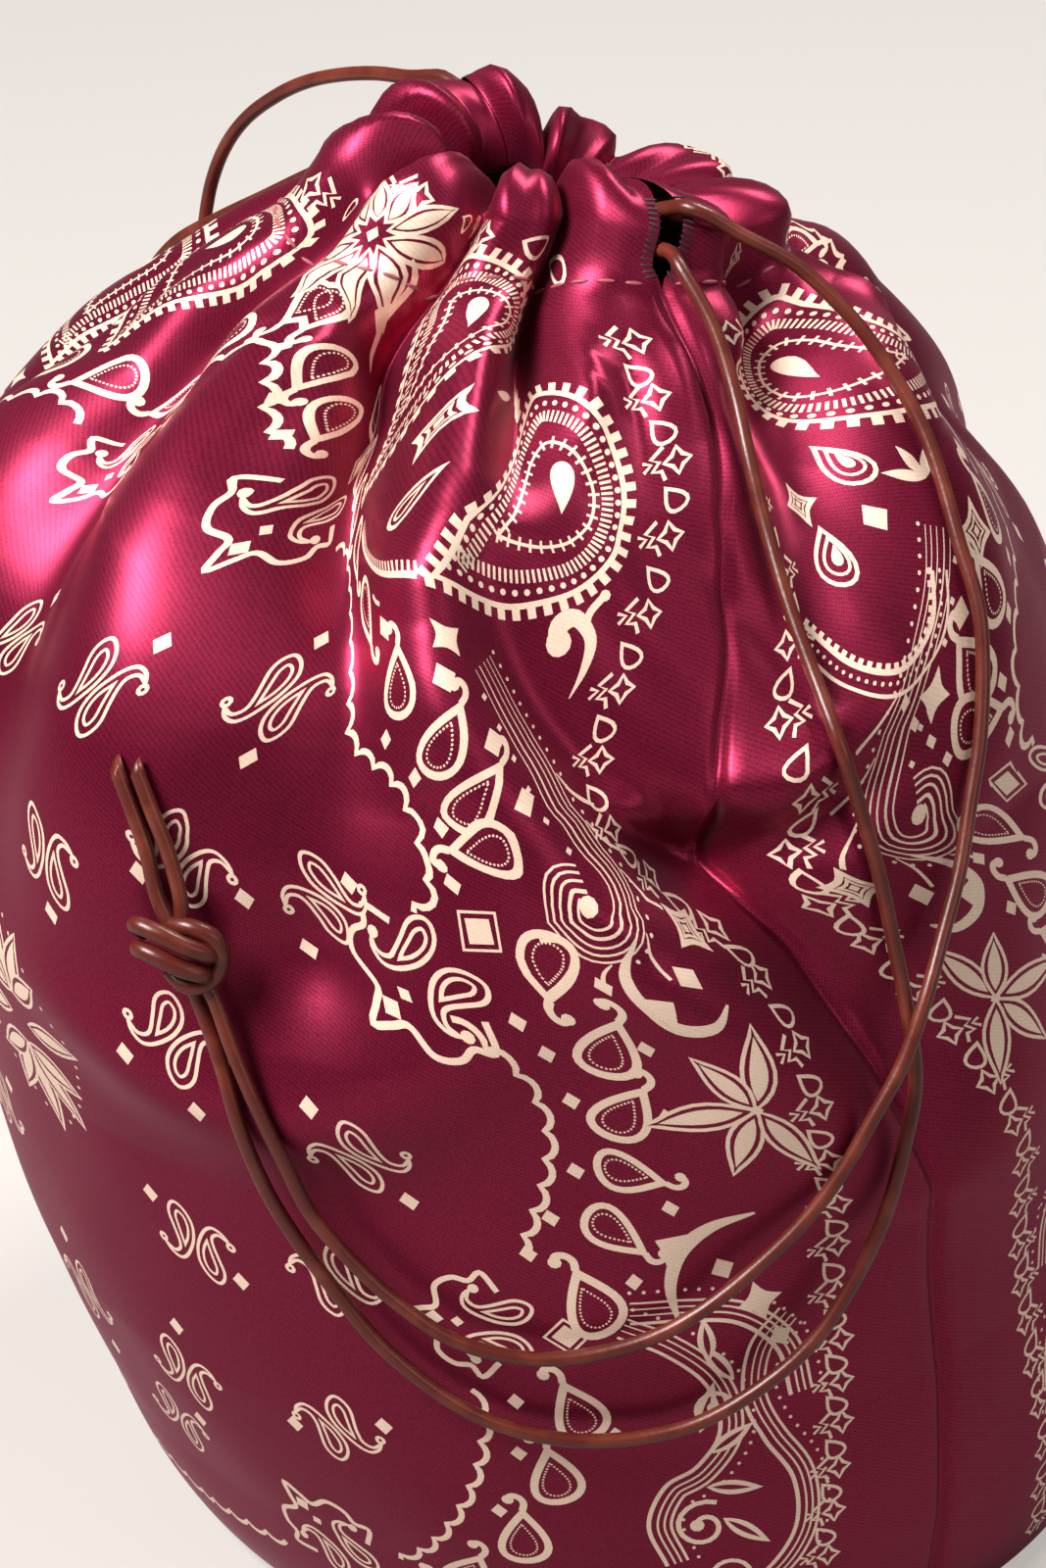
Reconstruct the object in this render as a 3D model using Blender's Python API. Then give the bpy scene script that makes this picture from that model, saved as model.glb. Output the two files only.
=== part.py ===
"""Kinchaku drawstring pouch: two printed satin panels on a flat round base, gathered by two cords.

All sizes are in metres, +Z is up and the origin is the centre of the base on the floor. The side
seams lie at +X and -X, the front panel faces -Y. A place on the wall is given by its angle around
the pouch, in degrees from +X, and its run, the length along the wall from the base to the rim.
"""
import math

import bmesh
import bpy
import numpy as np
from mathutils import Matrix, Vector

MM = 0.001

# Cloth and clearances
CLOTH_WALL = 0.8 * MM
FIT_GAP = 0.3 * MM
SEAM_GAP = 0.3 * MM

# Body of the pouch
BASE_RADIUS = 64.0 * MM
BASE_MARGIN = 5.0 * MM
BELLY_RADIUS = 83.5 * MM
SHOULDER_HEIGHT = 153.0 * MM
STITCH_RADIUS = 27.0 * MM
STITCH_HEIGHT = 192.0 * MM
CASING_HEIGHT = 15.5 * MM
RIM_RADIUS = 22.0 * MM
NECK_OVAL = 0.34
LEAN_DIRECTION = 47.0

# Shape of the wall: how far it stays inside the belly's widest radius, by height and by height over
# the shoulder, in mm, and how it rounds from the base and comes up to the casing's stitch line
FOOT_ROUNDING = (4 * MM, 5 * MM)
BELLY_STEPS = ((7, 16), (4, 36), (1.5, 70), (0, 105), (3, 132))
SHOULDER_STEPS = ((11.5, 0), (25, 17), (40, 28.5))
NECK_APPROACH = (5 * MM, 3.5 * MM)
CASING_RISE_SHARE = 0.84
PROFILE_STEPS = 12

# Where the folds fade in over the base, and how far under the stitch line the neck's shape starts
FOLD_START = 6 * MM
FOLD_FULL = 40 * MM
OVAL_START = 40 * MM
TILT_START = 30 * MM

# Drawcords and the casing they run in
CORD_DIAMETER = 2.0 * MM
CASING_ROOM = 4.6 * MM
LINING_FOLD_SHARE = 0.12
LINING_INSET = 10.5 * MM
RIM_RISE = 2.6 * MM
SLIT_WIDTH = 5.0 * MM
SLIT_OPENING = (1.0 * MM, 2.5 * MM)
CORD_PITCH = 3.2 * MM
CORD_MARGIN = 4.0 * MM
SLIT_TURN = 7.0
KNOT_WIDTH = 12.2 * MM
KNOT_LENGTH = 9.0 * MM
KNOT_THICKNESS = 6.2 * MM

# Fineness of the faceted cloth
PANEL_COLUMNS = 46
BODY_ROWS = 33
ROW_CROWDING = 0.75
CASING_ROWS = 4
RIM_ROWS = 3
CORD_STEP = 6.0 * MM
HEAD_POINTS = 8
BASE_SIDES = 64


def remove_scene_objects():
    """Start from an empty scene."""
    for old in list(bpy.data.objects):
        bpy.data.objects.remove(old, do_unlink=True)


def plain_material(name, colour, roughness, metallic=0.0):
    """Principled material with one colour."""
    material = bpy.data.materials.new(name)
    material.use_nodes = True
    shader = material.node_tree.nodes["Principled BSDF"]
    shader.inputs["Base Color"].default_value = (*colour, 1.0)
    shader.inputs["Roughness"].default_value = roughness
    shader.inputs["Metallic"].default_value = metallic
    return material


def smooth_curve(points, steps):
    """Catmull-Rom curve through the points, with a number of steps between each two."""
    known = np.asarray(points, dtype=float)
    padded = np.vstack([2 * known[0] - known[1], known, 2 * known[-1] - known[-2]])
    pieces = []
    for i in range(1, len(padded) - 2):
        a, b, c, d = padded[i - 1], padded[i], padded[i + 1], padded[i + 2]
        t = np.linspace(0.0, 1.0, steps, endpoint=False)[:, None]
        line = 2 * b + (c - a) * t
        bend = (2 * a - 5 * b + 4 * c - d) * t ** 2
        twist = (3 * b - a - 3 * c + d) * t ** 3
        pieces.append(0.5 * (line + bend + twist))
    pieces.append(known[-1:])
    return np.vstack(pieces)


def soft_step(x, low, high):
    """Smooth step from 0 at low to 1 at high."""
    t = np.clip((x - low) / (high - low), 0.0, 1.0)
    return t * t * (3.0 - 2.0 * t)


def wall_profile():
    """Middle line of the wall from the base to the rim, as radius and height by run."""
    floor = CLOTH_WALL / 2
    rim_height = STITCH_HEIGHT + CASING_HEIGHT * CASING_RISE_SHARE
    points = [
        (BASE_RADIUS + FIT_GAP, floor),
        (BASE_RADIUS + BASE_MARGIN, floor),
        (BASE_RADIUS + BASE_MARGIN + FOOT_ROUNDING[0], FOOT_ROUNDING[1]),
    ]
    points += [(BELLY_RADIUS - inside * MM, height * MM) for inside, height in BELLY_STEPS]
    points += [(BELLY_RADIUS - inside * MM, SHOULDER_HEIGHT + over * MM) for inside, over in SHOULDER_STEPS]
    points.append((STITCH_RADIUS + NECK_APPROACH[0], STITCH_HEIGHT - NECK_APPROACH[1]))
    stitch_point = len(points)
    points.append((STITCH_RADIUS, STITCH_HEIGHT))
    points.append(((STITCH_RADIUS + RIM_RADIUS) / 2, (STITCH_HEIGHT + rim_height) / 2))
    points.append((RIM_RADIUS, rim_height))
    line = smooth_curve(points, PROFILE_STEPS)
    run = np.concatenate([[0.0], np.cumsum(np.hypot(*np.diff(line, axis=0).T))])
    stitch_run = run[PROFILE_STEPS * stitch_point]
    return run, line, stitch_run


RUN, LINE, STITCH_RUN = wall_profile()
RIM_RUN = RUN[-1]

# How far the pouch leans, by height: the soft body slumps away from its base and the neck sits back
LEAN_HEIGHTS = np.array([0, 25, 50, 100, 150, 170, 185, 200, 215]) * MM
LEAN_SHIFTS = np.array([0, -4, -10, -17, -23, -23, -17, -10, -9]) * MM

# How far the right side seam is drawn round by the folds, in degrees by run
SEAM_RUNS = np.array([0, 21, 56, 89, 109, 127, 139, 152, 168, 184, 200, 240]) * MM
SEAM_SWAYS = np.array([-8, -8, -4, -4, -8, -13, -19, -18, -12, -7, -3, -2])
SEAM_SWAY_REACH = 65.0

# Folds that run down from the gathered neck: run in mm, angle in degrees, height in mm (a valley is
# below 0) and half width in degrees
FOLDS = (
    ((240, -76, -5, 7), (224, -76, -5.5, 7), (215, -76, -10, 7), (204, -65, -11, 7), (186, -58, -10, 7),
     (163, -53, -7, 8), (140, -57, -4, 8), (118, -60, 0, 9)),
    ((240, -36, -5, 7), (224, -36, -5.5, 7), (215, -36, -9, 7), (203, -37, -5, 7), (188, -40, 0, 7)),
    ((240, 26, -5, 7), (224, 25, -5.5, 7), (215, 24, -9, 7), (203, 14, -9, 8), (188, 8, -6, 8),
     (170, -2, -3, 9), (155, -10, 0, 9)),
    ((240, -112, -5, 7), (224, -113, -5.5, 7), (215, -113, -9, 7), (196, -102, -8, 8), (172, -97, -6, 9),
     (148, -97, -4, 9), (118, -98, 0, 9)),
    ((240, -148, -5, 7), (224, -148, -5.5, 7), (215, -148, -9, 7), (196, -140, -7, 8), (172, -134, -3, 9),
     (150, -130, 0, 9)),
    ((240, 64, -5, 7), (224, 64, -5.5, 7), (215, 64, -9, 7), (196, 58, -6, 8), (172, 52, -3, 9),
     (150, 50, 0, 9)),
    ((240, 104, -5, 7), (224, 104, -5.5, 7), (215, 104, -9, 7), (196, 101, -7, 8), (170, 98, -4, 9),
     (140, 99, 0, 9)),
    ((240, 150, -5, 7), (224, 150, -5.5, 7), (215, 150, -9, 7), (196, 152, -7, 8), (165, 158, -4, 9),
     (135, 163, 0, 9)),
    ((222, -97, 0, 12), (206, -93, 4, 13), (187, -83, 7, 12), (163, -78, 7, 12), (140, -79, 6, 13),
     (118, -82, 3, 13), (95, -82, 0, 12)),
    ((222, -55, 0, 8), (206, -49, 4, 8), (190, -46, 5, 8), (174, -47, 5, 8), (152, -45, 0, 9)),
    ((192, -44, 0, 6), (179, -39, -4, 6), (168, -35, -6, 6), (156, -30, -6, 6), (145, -26, -4, 6),
     (130, -21, 0, 6)),
    ((176, -50, 0, 6), (162, -43, 2.5, 6), (148, -36, 3, 6), (136, -30, 2.5, 7), (120, -24, 0, 7)),
    ((152, -20, 0, 6), (141, -20, -5, 6), (130, -15, -6, 6), (118, -10, -5, 6), (106, -5, -3, 7),
     (88, -3, 0, 8)),
    ((146, -34, 0, 8), (130, -28, 3, 8), (116, -20, 4, 8), (102, -14, 3, 9), (84, -12, 0, 10)),
    ((212, 36, 0, 12), (196, 30, 4, 13), (176, 24, 6, 14), (156, 18, 5, 14), (134, 16, 0, 14)),
    ((196, -122, 0, 13), (178, -118, 4, 14), (156, -114, 4, 14), (130, -112, 0, 14)),
    ((206, 84, 0, 12), (186, 80, 4, 14), (158, 78, 4, 14), (130, 76, 0, 14)),
    ((206, 126, 0, 12), (186, 126, 5, 14), (156, 130, 4, 14), (126, 134, 0, 14)),
    ((176, 60, 0, 6), (160, 66, -3, 6), (144, 72, -4, 6), (128, 78, 0, 7)),
    ((172, 138, 0, 6), (154, 132, -3, 6), (136, 126, -4, 7), (118, 120, 0, 7)),
)

# Dents and swells: angle, run, depth or height, half length around, half length along the wall (mm)
# and the turn of the long side in degrees
DENTS = (
    (-21, 143, -6.0, 9, 8, 0),
    (-22, 172, -5.0, 13, 26, -10),
    (-59, 131, -3.5, 9, 8, 0),
    (-78, 114, 2.6, 16, 8, -18),
    (-62, 109, 2.8, 18, 8, 6),
    (-48, 119, 2.4, 16, 8, 28),
    (4, 92, 3.0, 22, 15, 0),
    (-10, 150, 2.5, 14, 5, 18),
    (-60, 62, 1.5, 40, 26, 0),
    (-150, 92, 3.0, 26, 22, 0),
    (150, 80, 2.5, 30, 20, 0),
    (100, 118, -4.0, 14, 12, 0),
    (92, 84, 3.0, 30, 20, 0),
    (50, 112, 2.5, 22, 18, 0),
    (178, 130, -4.0, 12, 10, 0),
)

# The neck is tilted: it is higher at the left and lower at the back right
NECK_TILTS = ((62.0, 48.0, -6.0 * MM), (-170.0, 60.0, 3.5 * MM))


def sway(angle, run):
    """Turn of the cloth around the pouch at the right side seam, in degrees."""
    offset = np.interp(run, SEAM_RUNS, SEAM_SWAYS)
    turned = (angle + 180.0) % 360.0 - 180.0
    window = np.cos(np.clip(np.abs(turned) / SEAM_SWAY_REACH, 0.0, 1.0) * math.pi / 2) ** 2
    return offset * window


def fold_height(place, run):
    """Height of the cloth over the plain form at an angle and run, in metres."""
    height = np.zeros(np.broadcast(place, run).shape)
    for fold in FOLDS:
        knots = np.array(sorted(fold), dtype=float)
        fine = smooth_curve(knots, 6)
        centre = np.interp(run, fine[:, 0] * MM, fine[:, 1])
        size = np.interp(run, fine[:, 0] * MM, fine[:, 2], left=0.0)
        half = np.interp(run, fine[:, 0] * MM, fine[:, 3])
        turned = (place - centre + 180.0) % 360.0 - 180.0
        height += size * MM * np.exp(-(turned / half) ** 2)
    radius = np.interp(run, RUN, LINE[:, 0])
    for angle, at, size, around, along, turn in DENTS:
        turned = (place - angle + 180.0) % 360.0 - 180.0
        x = np.radians(turned) * radius
        y = run - at * MM
        c, s = math.cos(math.radians(turn)), math.sin(math.radians(turn))
        u = (x * c + y * s) / (around * MM)
        v = (y * c - x * s) / (along * MM)
        height += size * MM * np.exp(-u * u - v * v)
    return height * soft_step(run, FOLD_START, FOLD_FULL)


def wall_point(angle, run, fold_share=1.0, inset=0.0):
    """Middle of the cloth at an angle in degrees and a run in metres, as an array of points.

    A share of the folds and an inset from the wall give the layers inside the casing.
    """
    angle, run = np.broadcast_arrays(np.asarray(angle, float), np.asarray(run, float))
    place = angle + sway(angle, run)
    radius = np.interp(run, RUN, LINE[:, 0])
    height = np.interp(run, RUN, LINE[:, 1])
    step = 1.5 * MM
    ahead, behind = np.minimum(run + step, RIM_RUN), np.maximum(run - step, 0.0)
    rise = np.interp(ahead, RUN, LINE[:, 1]) - np.interp(behind, RUN, LINE[:, 1])
    spread = np.interp(ahead, RUN, LINE[:, 0]) - np.interp(behind, RUN, LINE[:, 0])
    length = np.hypot(rise, spread)
    lift = fold_height(place, run) * fold_share - inset
    oval = NECK_OVAL * soft_step(run, STITCH_RUN - OVAL_START, RIM_RUN)
    radius = radius * (1.0 + oval * np.cos(2.0 * np.radians(place - LEAN_DIRECTION)))
    radius = radius + lift * rise / length
    height = height - lift * spread / length
    for tilt_angle, tilt_reach, tilt_rise in NECK_TILTS:
        off = (place - tilt_angle + 180.0) % 360.0 - 180.0
        near = np.exp(-(off / tilt_reach) ** 2) * soft_step(run, STITCH_RUN - TILT_START, RIM_RUN)
        height = height + tilt_rise * near
    lean = np.interp(height, LEAN_HEIGHTS, LEAN_SHIFTS)
    aside = math.radians(LEAN_DIRECTION)
    turn = np.radians(place)
    x = radius * np.cos(turn) + lean * math.cos(aside)
    y = radius * np.sin(turn) + lean * math.sin(aside)
    return np.stack([x, y, height], axis=-1)


def wall_normal(angle, run, fold_share=1.0, inset=0.0):
    """Outward unit normal of the cloth."""
    turn, step = 0.5, 0.5 * MM
    angle, run = np.broadcast_arrays(np.asarray(angle, float), np.asarray(run, float))
    low, high = np.maximum(run - step, 0.0), np.minimum(run + step, RIM_RUN)
    ahead = wall_point(angle + turn, run, fold_share, inset)
    around = ahead - wall_point(angle - turn, run, fold_share, inset)
    along = wall_point(angle, high, fold_share, inset) - wall_point(angle, low, fold_share, inset)
    normal = np.cross(around, along)
    return normal / np.linalg.norm(normal, axis=-1, keepdims=True)


def panel_rows():
    """Runs of the panel's rows, each with its share of the way over the rim to the lining."""
    margin = BASE_MARGIN - FIT_GAP
    rows = [(0.0, 0.0)]
    shares = np.linspace(0.0, 1.0, BODY_ROWS) ** ROW_CROWDING
    rows += [(run, 0.0) for run in margin + (STITCH_RUN - margin) * shares]
    casing = np.linspace(STITCH_RUN, RIM_RUN, CASING_ROWS + 1)
    rows += [(run, 0.0) for run in casing[1:]]
    rows += [(RIM_RUN, k / (RIM_ROWS + 1)) for k in range(1, RIM_ROWS + 1)]
    rows += [(run, 1.0) for run in casing[::-1]]
    return rows


def row_points(angles, run, over):
    """Points of one row of a panel and the way its outer face looks there."""
    runs = np.full_like(angles, run)
    outer, outer_normal = wall_point(angles, runs), wall_normal(angles, runs)
    if over == 0.0:
        return outer, outer_normal
    lining = wall_point(angles, runs, LINING_FOLD_SHARE, LINING_INSET)
    lining_normal = wall_normal(angles, runs, LINING_FOLD_SHARE, LINING_INSET)
    if over == 1.0:
        return lining, -lining_normal
    centre = (outer + lining) / 2
    aside = (outer - lining) / 2
    upward = np.cross(lining - outer, np.gradient(outer, axis=0))
    upward = upward / np.linalg.norm(upward, axis=-1, keepdims=True)
    turn = math.pi * over
    rise = upward * RIM_RISE * math.sin(turn)
    point = centre + aside * math.cos(turn) + rise
    width = np.linalg.norm(aside, axis=-1, keepdims=True)
    facing = aside / width * math.cos(turn) * RIM_RISE + upward * math.sin(turn) * width
    return point, facing / np.linalg.norm(facing, axis=-1, keepdims=True)


def edge_setback(run):
    """Half of the opening between the panels at a side seam, in metres."""
    slit = soft_step(np.asarray(run), STITCH_RUN - SLIT_OPENING[0], STITCH_RUN + SLIT_OPENING[1])
    return SEAM_GAP / 2 + (SLIT_WIDTH / 2 - SEAM_GAP / 2) * slit


def column_angles(start_angle, run):
    """Angles of a panel's columns at a run."""
    radius = max(float(np.interp(run, RUN, LINE[:, 0])), RIM_RADIUS)
    edge = math.degrees(float(edge_setback(run)) / radius)
    return np.linspace(start_angle + edge, start_angle + 180.0 - edge, PANEL_COLUMNS)


def panel_grid(start_angle):
    """Middle surface of a panel that spans half of the pouch from an angle, and its normals."""
    rows = [row_points(column_angles(start_angle, row[0]), *row) for row in panel_rows()]
    return np.array([row[0] for row in rows]), np.array([row[1] for row in rows])


def cloth_object(name, grid, normal, material):
    """Closed cloth of even thickness around a grid of middle points with its normals."""
    outer = grid + normal * (CLOTH_WALL / 2)
    inner = grid - normal * (CLOTH_WALL / 2)
    outer[0, :, 2], inner[0, :, 2] = 0.0, CLOTH_WALL
    outer[1, :, 2] = 0.0
    rows, columns = grid.shape[:2]
    count = rows * columns
    verts = np.vstack([outer.reshape(-1, 3), inner.reshape(-1, 3)])

    def at(side, i, j):
        return side * count + i * columns + j

    faces = []
    for i in range(rows - 1):
        for j in range(columns - 1):
            faces.append((at(0, i, j), at(0, i, j + 1), at(0, i + 1, j + 1), at(0, i + 1, j)))
            faces.append((at(1, i, j), at(1, i + 1, j), at(1, i + 1, j + 1), at(1, i, j + 1)))
    for j in range(columns - 1):
        faces.append((at(0, 0, j), at(1, 0, j), at(1, 0, j + 1), at(0, 0, j + 1)))
        faces.append((at(0, rows - 1, j), at(0, rows - 1, j + 1), at(1, rows - 1, j + 1), at(1, rows - 1, j)))
    for i in range(rows - 1):
        faces.append((at(0, i, 0), at(0, i + 1, 0), at(1, i + 1, 0), at(1, i, 0)))
        last = columns - 1
        faces.append((at(0, i, last), at(1, i, last), at(1, i + 1, last), at(0, i + 1, last)))
    mesh = bpy.data.meshes.new(name)
    mesh.from_pydata(verts.tolist(), [], faces)
    mesh.shade_smooth()
    return add_object(name, mesh, material)


def add_object(name, data, material):
    """Put a mesh or curve in the scene under its name."""
    item = bpy.data.objects.new(name, data)
    item.data.materials.append(material)
    bpy.context.scene.collection.objects.link(item)
    return item


def round_base(name, material):
    """Flat round bottom panel."""
    mesh = bpy.data.meshes.new(name)
    shape = bmesh.new()
    bmesh.ops.create_cone(shape, cap_ends=True, cap_tris=False, segments=BASE_SIDES, radius1=BASE_RADIUS,
                          radius2=BASE_RADIUS, depth=CLOTH_WALL)
    bmesh.ops.translate(shape, verts=shape.verts, vec=(0.0, 0.0, CLOTH_WALL / 2))
    shape.to_mesh(mesh)
    shape.free()
    return add_object(name, mesh, material)


def round_cord(name, points, material):
    """Solid round cord along a line of points."""
    curve = bpy.data.curves.new(name, "CURVE")
    curve.dimensions = "3D"
    spline = curve.splines.new("POLY")
    spline.points.add(len(points) - 1)
    for target, point in zip(spline.points, points):
        target.co = (*[float(value) for value in point], 1.0)
    curve.bevel_depth = CORD_DIAMETER / 2
    curve.bevel_resolution = 2
    curve.use_fill_caps = True
    return add_object(name, curve, material)


def even_points(points, step):
    """Points a step apart along a line, with both its ends."""
    length = np.concatenate([[0.0], np.cumsum(np.linalg.norm(np.diff(points, axis=0), axis=1))])
    count = max(int(round(length[-1] / step)), 2)
    at = np.linspace(0.0, length[-1], count + 1)
    return np.stack([np.interp(at, length, points[:, k]) for k in range(3)], axis=1)


def strand_points(route):
    """Points of a free strand along its route, which is given in mm and bends sharply at the slit."""
    known = np.array(route) * MM
    if len(known) <= HEAD_POINTS:
        return even_points(smooth_curve(known, 12), CORD_STEP)
    rest = smooth_curve(known[HEAD_POINTS - 1:], 12)
    return np.vstack([known[:HEAD_POINTS - 1], even_points(rest, CORD_STEP)])


def channel_point(angle, run):
    """Middle of the room for the cords, just outside the casing's lining."""
    return wall_point(angle, run, LINING_FOLD_SHARE, LINING_INSET - (CASING_ROOM + CLOTH_WALL) / 2)


def loop_points(slit_angle):
    """Cord once round in the casing, from its slit back to it, a little lower at the end."""
    high = RIM_RUN - CORD_MARGIN
    fall = 2 * CORD_PITCH
    first = slit_angle + SLIT_TURN
    last = slit_angle + 360.0 - SLIT_TURN
    angles = [first]
    for start in (slit_angle, slit_angle + 180.0):
        angles += [a for a in column_angles(start, high - fall / 2)[::2] if first + 2.0 < a < last - 2.0]
    angles.append(last)
    points = []
    for angle in angles:
        run = high - fall * (angle - slit_angle) / 360.0
        points.append(channel_point(angle, run))
    return points


def knot_solid(name, centre, outward, upward, material):
    """Plain body of an overhand knot that lies on the cloth."""
    outward = Vector(outward).normalized()
    side = Vector(upward).cross(outward).normalized()
    upward = outward.cross(side)
    mesh = bpy.data.meshes.new(name)
    shape = bmesh.new()
    bmesh.ops.create_uvsphere(shape, u_segments=14, v_segments=8, radius=1.0)
    halves = (side * KNOT_WIDTH / 2, upward * KNOT_LENGTH / 2, outward * KNOT_THICKNESS / 2)
    spread = Matrix(halves).transposed()
    for vert in shape.verts:
        vert.co = spread @ vert.co + Vector(centre) * MM
    shape.to_mesh(mesh)
    shape.free()
    mesh.shade_smooth()
    return add_object(name, mesh, material)


# Free strands from the casing's slits to the knots, in mm
RIGHT_UPPER_ROUTE = (
    (8.85, -7.26, 197.1), (8.4, -8.0, 197.35), (8.9, -8.9, 197.8), (10.9, -9.3, 198.5), (13.3, -8.8, 199.4),
    (15.5, -8.4, 200.2), (17.8, -8.5, 200.9), (20.2, -6.8, 200.0), (23.0, -3.5, 197.2),
    (27.4, 1.7, 193.1), (33.0, 5.5, 187.2), (38.4, 7.2, 181.6), (44.6, 7.6, 175.1),
    (49.8, 6.5, 169.1), (55.2, 4.6, 162.3), (60.5, 3.1, 155.2), (63.5, 1.1, 147.9), (66.4, -2.1, 140.0),
    (68.4, -5.6, 133.2), (70.9, -9.9, 125.7), (73.0, -15.0, 118.6), (75.0, -19.8, 112.5),
    (75.8, -24.5, 105.0),
    (75.3, -29.1, 98.5), (74.2, -34.0, 91.1), (72.3, -38.7, 84.9), (69.4, -44.6, 78.8), (66.1, -51.1, 73.5),
    (62.4, -57.3, 70.1), (57.3, -64.4, 68.3), (52.3, -70.6, 68.6), (46.4, -76.7, 71.4), (40.9, -81.3, 76.7),
    (36.8, -84.9, 82.6), (33.0, -88.4, 89.9), (30.5, -90.3, 97.3), (27.6, -92.1, 105.5),
    (24.3, -92.9, 112.8),
    (20.9, -93.5, 120.6),
)
RIGHT_LOWER_ROUTE = (
    (6.0, -12.03, 192.35), (7.3, -11.4, 192.5), (8.8, -11.0, 193.2), (11.1, -10.6, 193.9),
    (13.4, -10.3, 194.4),
    (15.7, -10.2, 194.8), (17.9, -11.0, 195.1), (20.4, -12.1, 194.5), (26.7, -12.3, 188.5),
    (32.3, -13.9, 181.8), (38.6, -17.0, 174.8), (43.8, -18.9, 167.5), (50.3, -21.3, 160.3),
    (56.5, -23.1, 154.0), (63.8, -25.4, 147.3), (66.4, -24.0, 138.5), (68.7, -22.5, 128.9),
    (70.8, -21.6, 119.2),
    (72.9, -21.1, 110.4), (75.2, -21.4, 100.7), (75.8, -23.6, 92.0), (75.9, -26.9, 82.6),
    (75.0, -30.8, 74.5),
    (73.4, -36.3, 66.3), (70.6, -42.4, 60.4), (66.5, -50.2, 55.7), (61.6, -57.4, 53.8), (55.6, -65.3, 54.2),
    (49.1, -72.3, 57.1), (43.5, -77.4, 61.9), (37.9, -82.0, 68.8), (33.8, -85.2, 76.1), (30.0, -88.7, 84.7),
    (27.4, -91.4, 92.9), (25.5, -93.5, 102.4), (22.2, -93.5, 110.8), (18.4, -94.0, 119.6),
)
LEFT_UPPER_ROUTE = (
    (-23.96, -9.02, 201.8), (-23.6, -8.3, 201.85), (-24.1, -7.5, 202.2), (-25.9, -7.0, 203.1),
    (-27.9, -7.1, 204.0),
    (-29.5, -7.2, 204.5), (-31.6, -7.3, 204.8), (-34.2, -7.6, 204.2), (-38.0, -8.0, 203.2),
    (-44.7, -8.0, 201.9), (-52.4, -8.0, 199.6), (-59.8, -8.0, 196.6), (-66.7, -8.0, 192.7),
    (-73.9, -8.0, 187.4),
    (-79.3, -8.0, 181.5), (-83.2, -8.0, 174.6), (-84.8, -8.6, 167.3), (-86.4, -8.3, 160.8),
    (-88.6, -7.6, 154.1),
    (-91.5, -6.3, 146.9), (-93.7, -4.8, 139.4), (-94.6, -3.7, 131.6), (-95.1, -2.6, 123.7),
    (-95.8, -0.4, 115.0),
    (-96.1, 1.8, 107.3), (-95.6, 3.8, 99.6), (-94.7, 6.2, 92.1), (-93.6, 8.8, 84.6), (-92.3, 12.0, 77.4),
    (-90.6, 15.7, 70.6), (-88.4, 19.8, 64.2), (-85.5, 24.8, 58.6), (-82.0, 30.0, 53.7), (-77.4, 36.8, 50.2),
    (-72.7, 43.0, 48.7), (-67.6, 49.0, 49.2), (-63.2, 53.9, 53.1), (-59.4, 58.0, 60.6), (-57.6, 60.0, 66.2),
)
LEFT_LOWER_ROUTE = (
    (-24.15, -7.2, 195.8), (-25.2, -7.8, 196.0), (-26.3, -8.2, 196.7), (-28.2, -8.3, 197.4),
    (-30.2, -8.1, 198.0),
    (-32.1, -7.9, 198.6), (-34.4, -7.9, 198.5), (-36.8, -8.7, 197.3), (-40.4, -10.1, 194.4),
    (-45.0, -11.8, 190.9), (-52.6, -14.1, 186.4), (-59.9, -16.4, 181.7), (-67.3, -18.7, 177.0),
    (-74.5, -20.8, 172.0),
    (-80.7, -21.4, 165.6), (-86.2, -21.5, 158.5), (-90.8, -21.2, 150.7), (-94.0, -20.1, 142.4),
    (-95.3, -18.2, 133.7),
    (-95.5, -15.8, 125.0), (-96.2, -13.9, 116.3), (-97.1, -12.2, 107.5), (-97.0, -9.9, 98.8),
    (-96.1, -7.5, 91.2),
    (-94.9, -4.7, 82.7), (-93.6, -1.5, 74.4), (-92.1, 1.7, 66.1), (-90.2, 6.0, 58.5), (-88.0, 11.1, 51.4),
    (-85.1, 16.9, 45.2), (-81.7, 23.9, 40.6), (-77.8, 31.0, 36.9), (-73.2, 38.5, 35.1), (-68.1, 45.8, 34.9),
    (-62.4, 52.5, 36.9), (-57.9, 57.2, 42.4), (-55.4, 60.2, 50.6), (-54.4, 61.6, 58.8), (-54.0, 62.0, 65.6),
)
RIGHT_TAIL_ROUTES = (
    ((15.0, -96.2, 132.3), (13.2, -96.1, 138.1), (10.8, -96.3, 143.5), (7.8, -96.2, 148.5)),
    ((17.6, -94.6, 132.4), (15.6, -94.5, 138.2), (13.3, -95.0, 143.6), (10.3, -94.9, 148.6)),
)
LEFT_TAIL_ROUTES = (
    ((-54.4, 62.8, 78.4), (-53.6, 62.8, 85.0), (-53.0, 62.9, 91.0), (-52.3, 62.8, 98.0)),
    ((-57.2, 60.8, 78.4), (-57.4, 60.4, 85.0), (-57.4, 60.2, 91.0), (-57.0, 60.2, 97.0)),
)
RIGHT_KNOT = ((18.5, -95.8, 125.9), (0.72, -0.69, 0.05), (-0.01, 0.08, 1.0))
LEFT_KNOT = ((-56.7, 62.8, 72.0), (-0.54, 0.84, -0.04), (-0.05, -0.05, 1.0))


def drawcord(side, slit_angle, routes, knot, tails, leather):
    """One drawcord: its loop in the casing, two free strands, the knot and the two cut ends."""
    round_cord(f"{side}_cord_casing_loop", loop_points(slit_angle), leather)
    round_cord(f"{side}_cord_upper_strand", strand_points(routes[0]), leather)
    round_cord(f"{side}_cord_lower_strand", strand_points(routes[1]), leather)
    knot_solid(f"{side}_cord_knot", *knot, leather)
    round_cord(f"{side}_cord_end_a", strand_points(tails[0]), leather)
    round_cord(f"{side}_cord_end_b", strand_points(tails[1]), leather)


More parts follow.
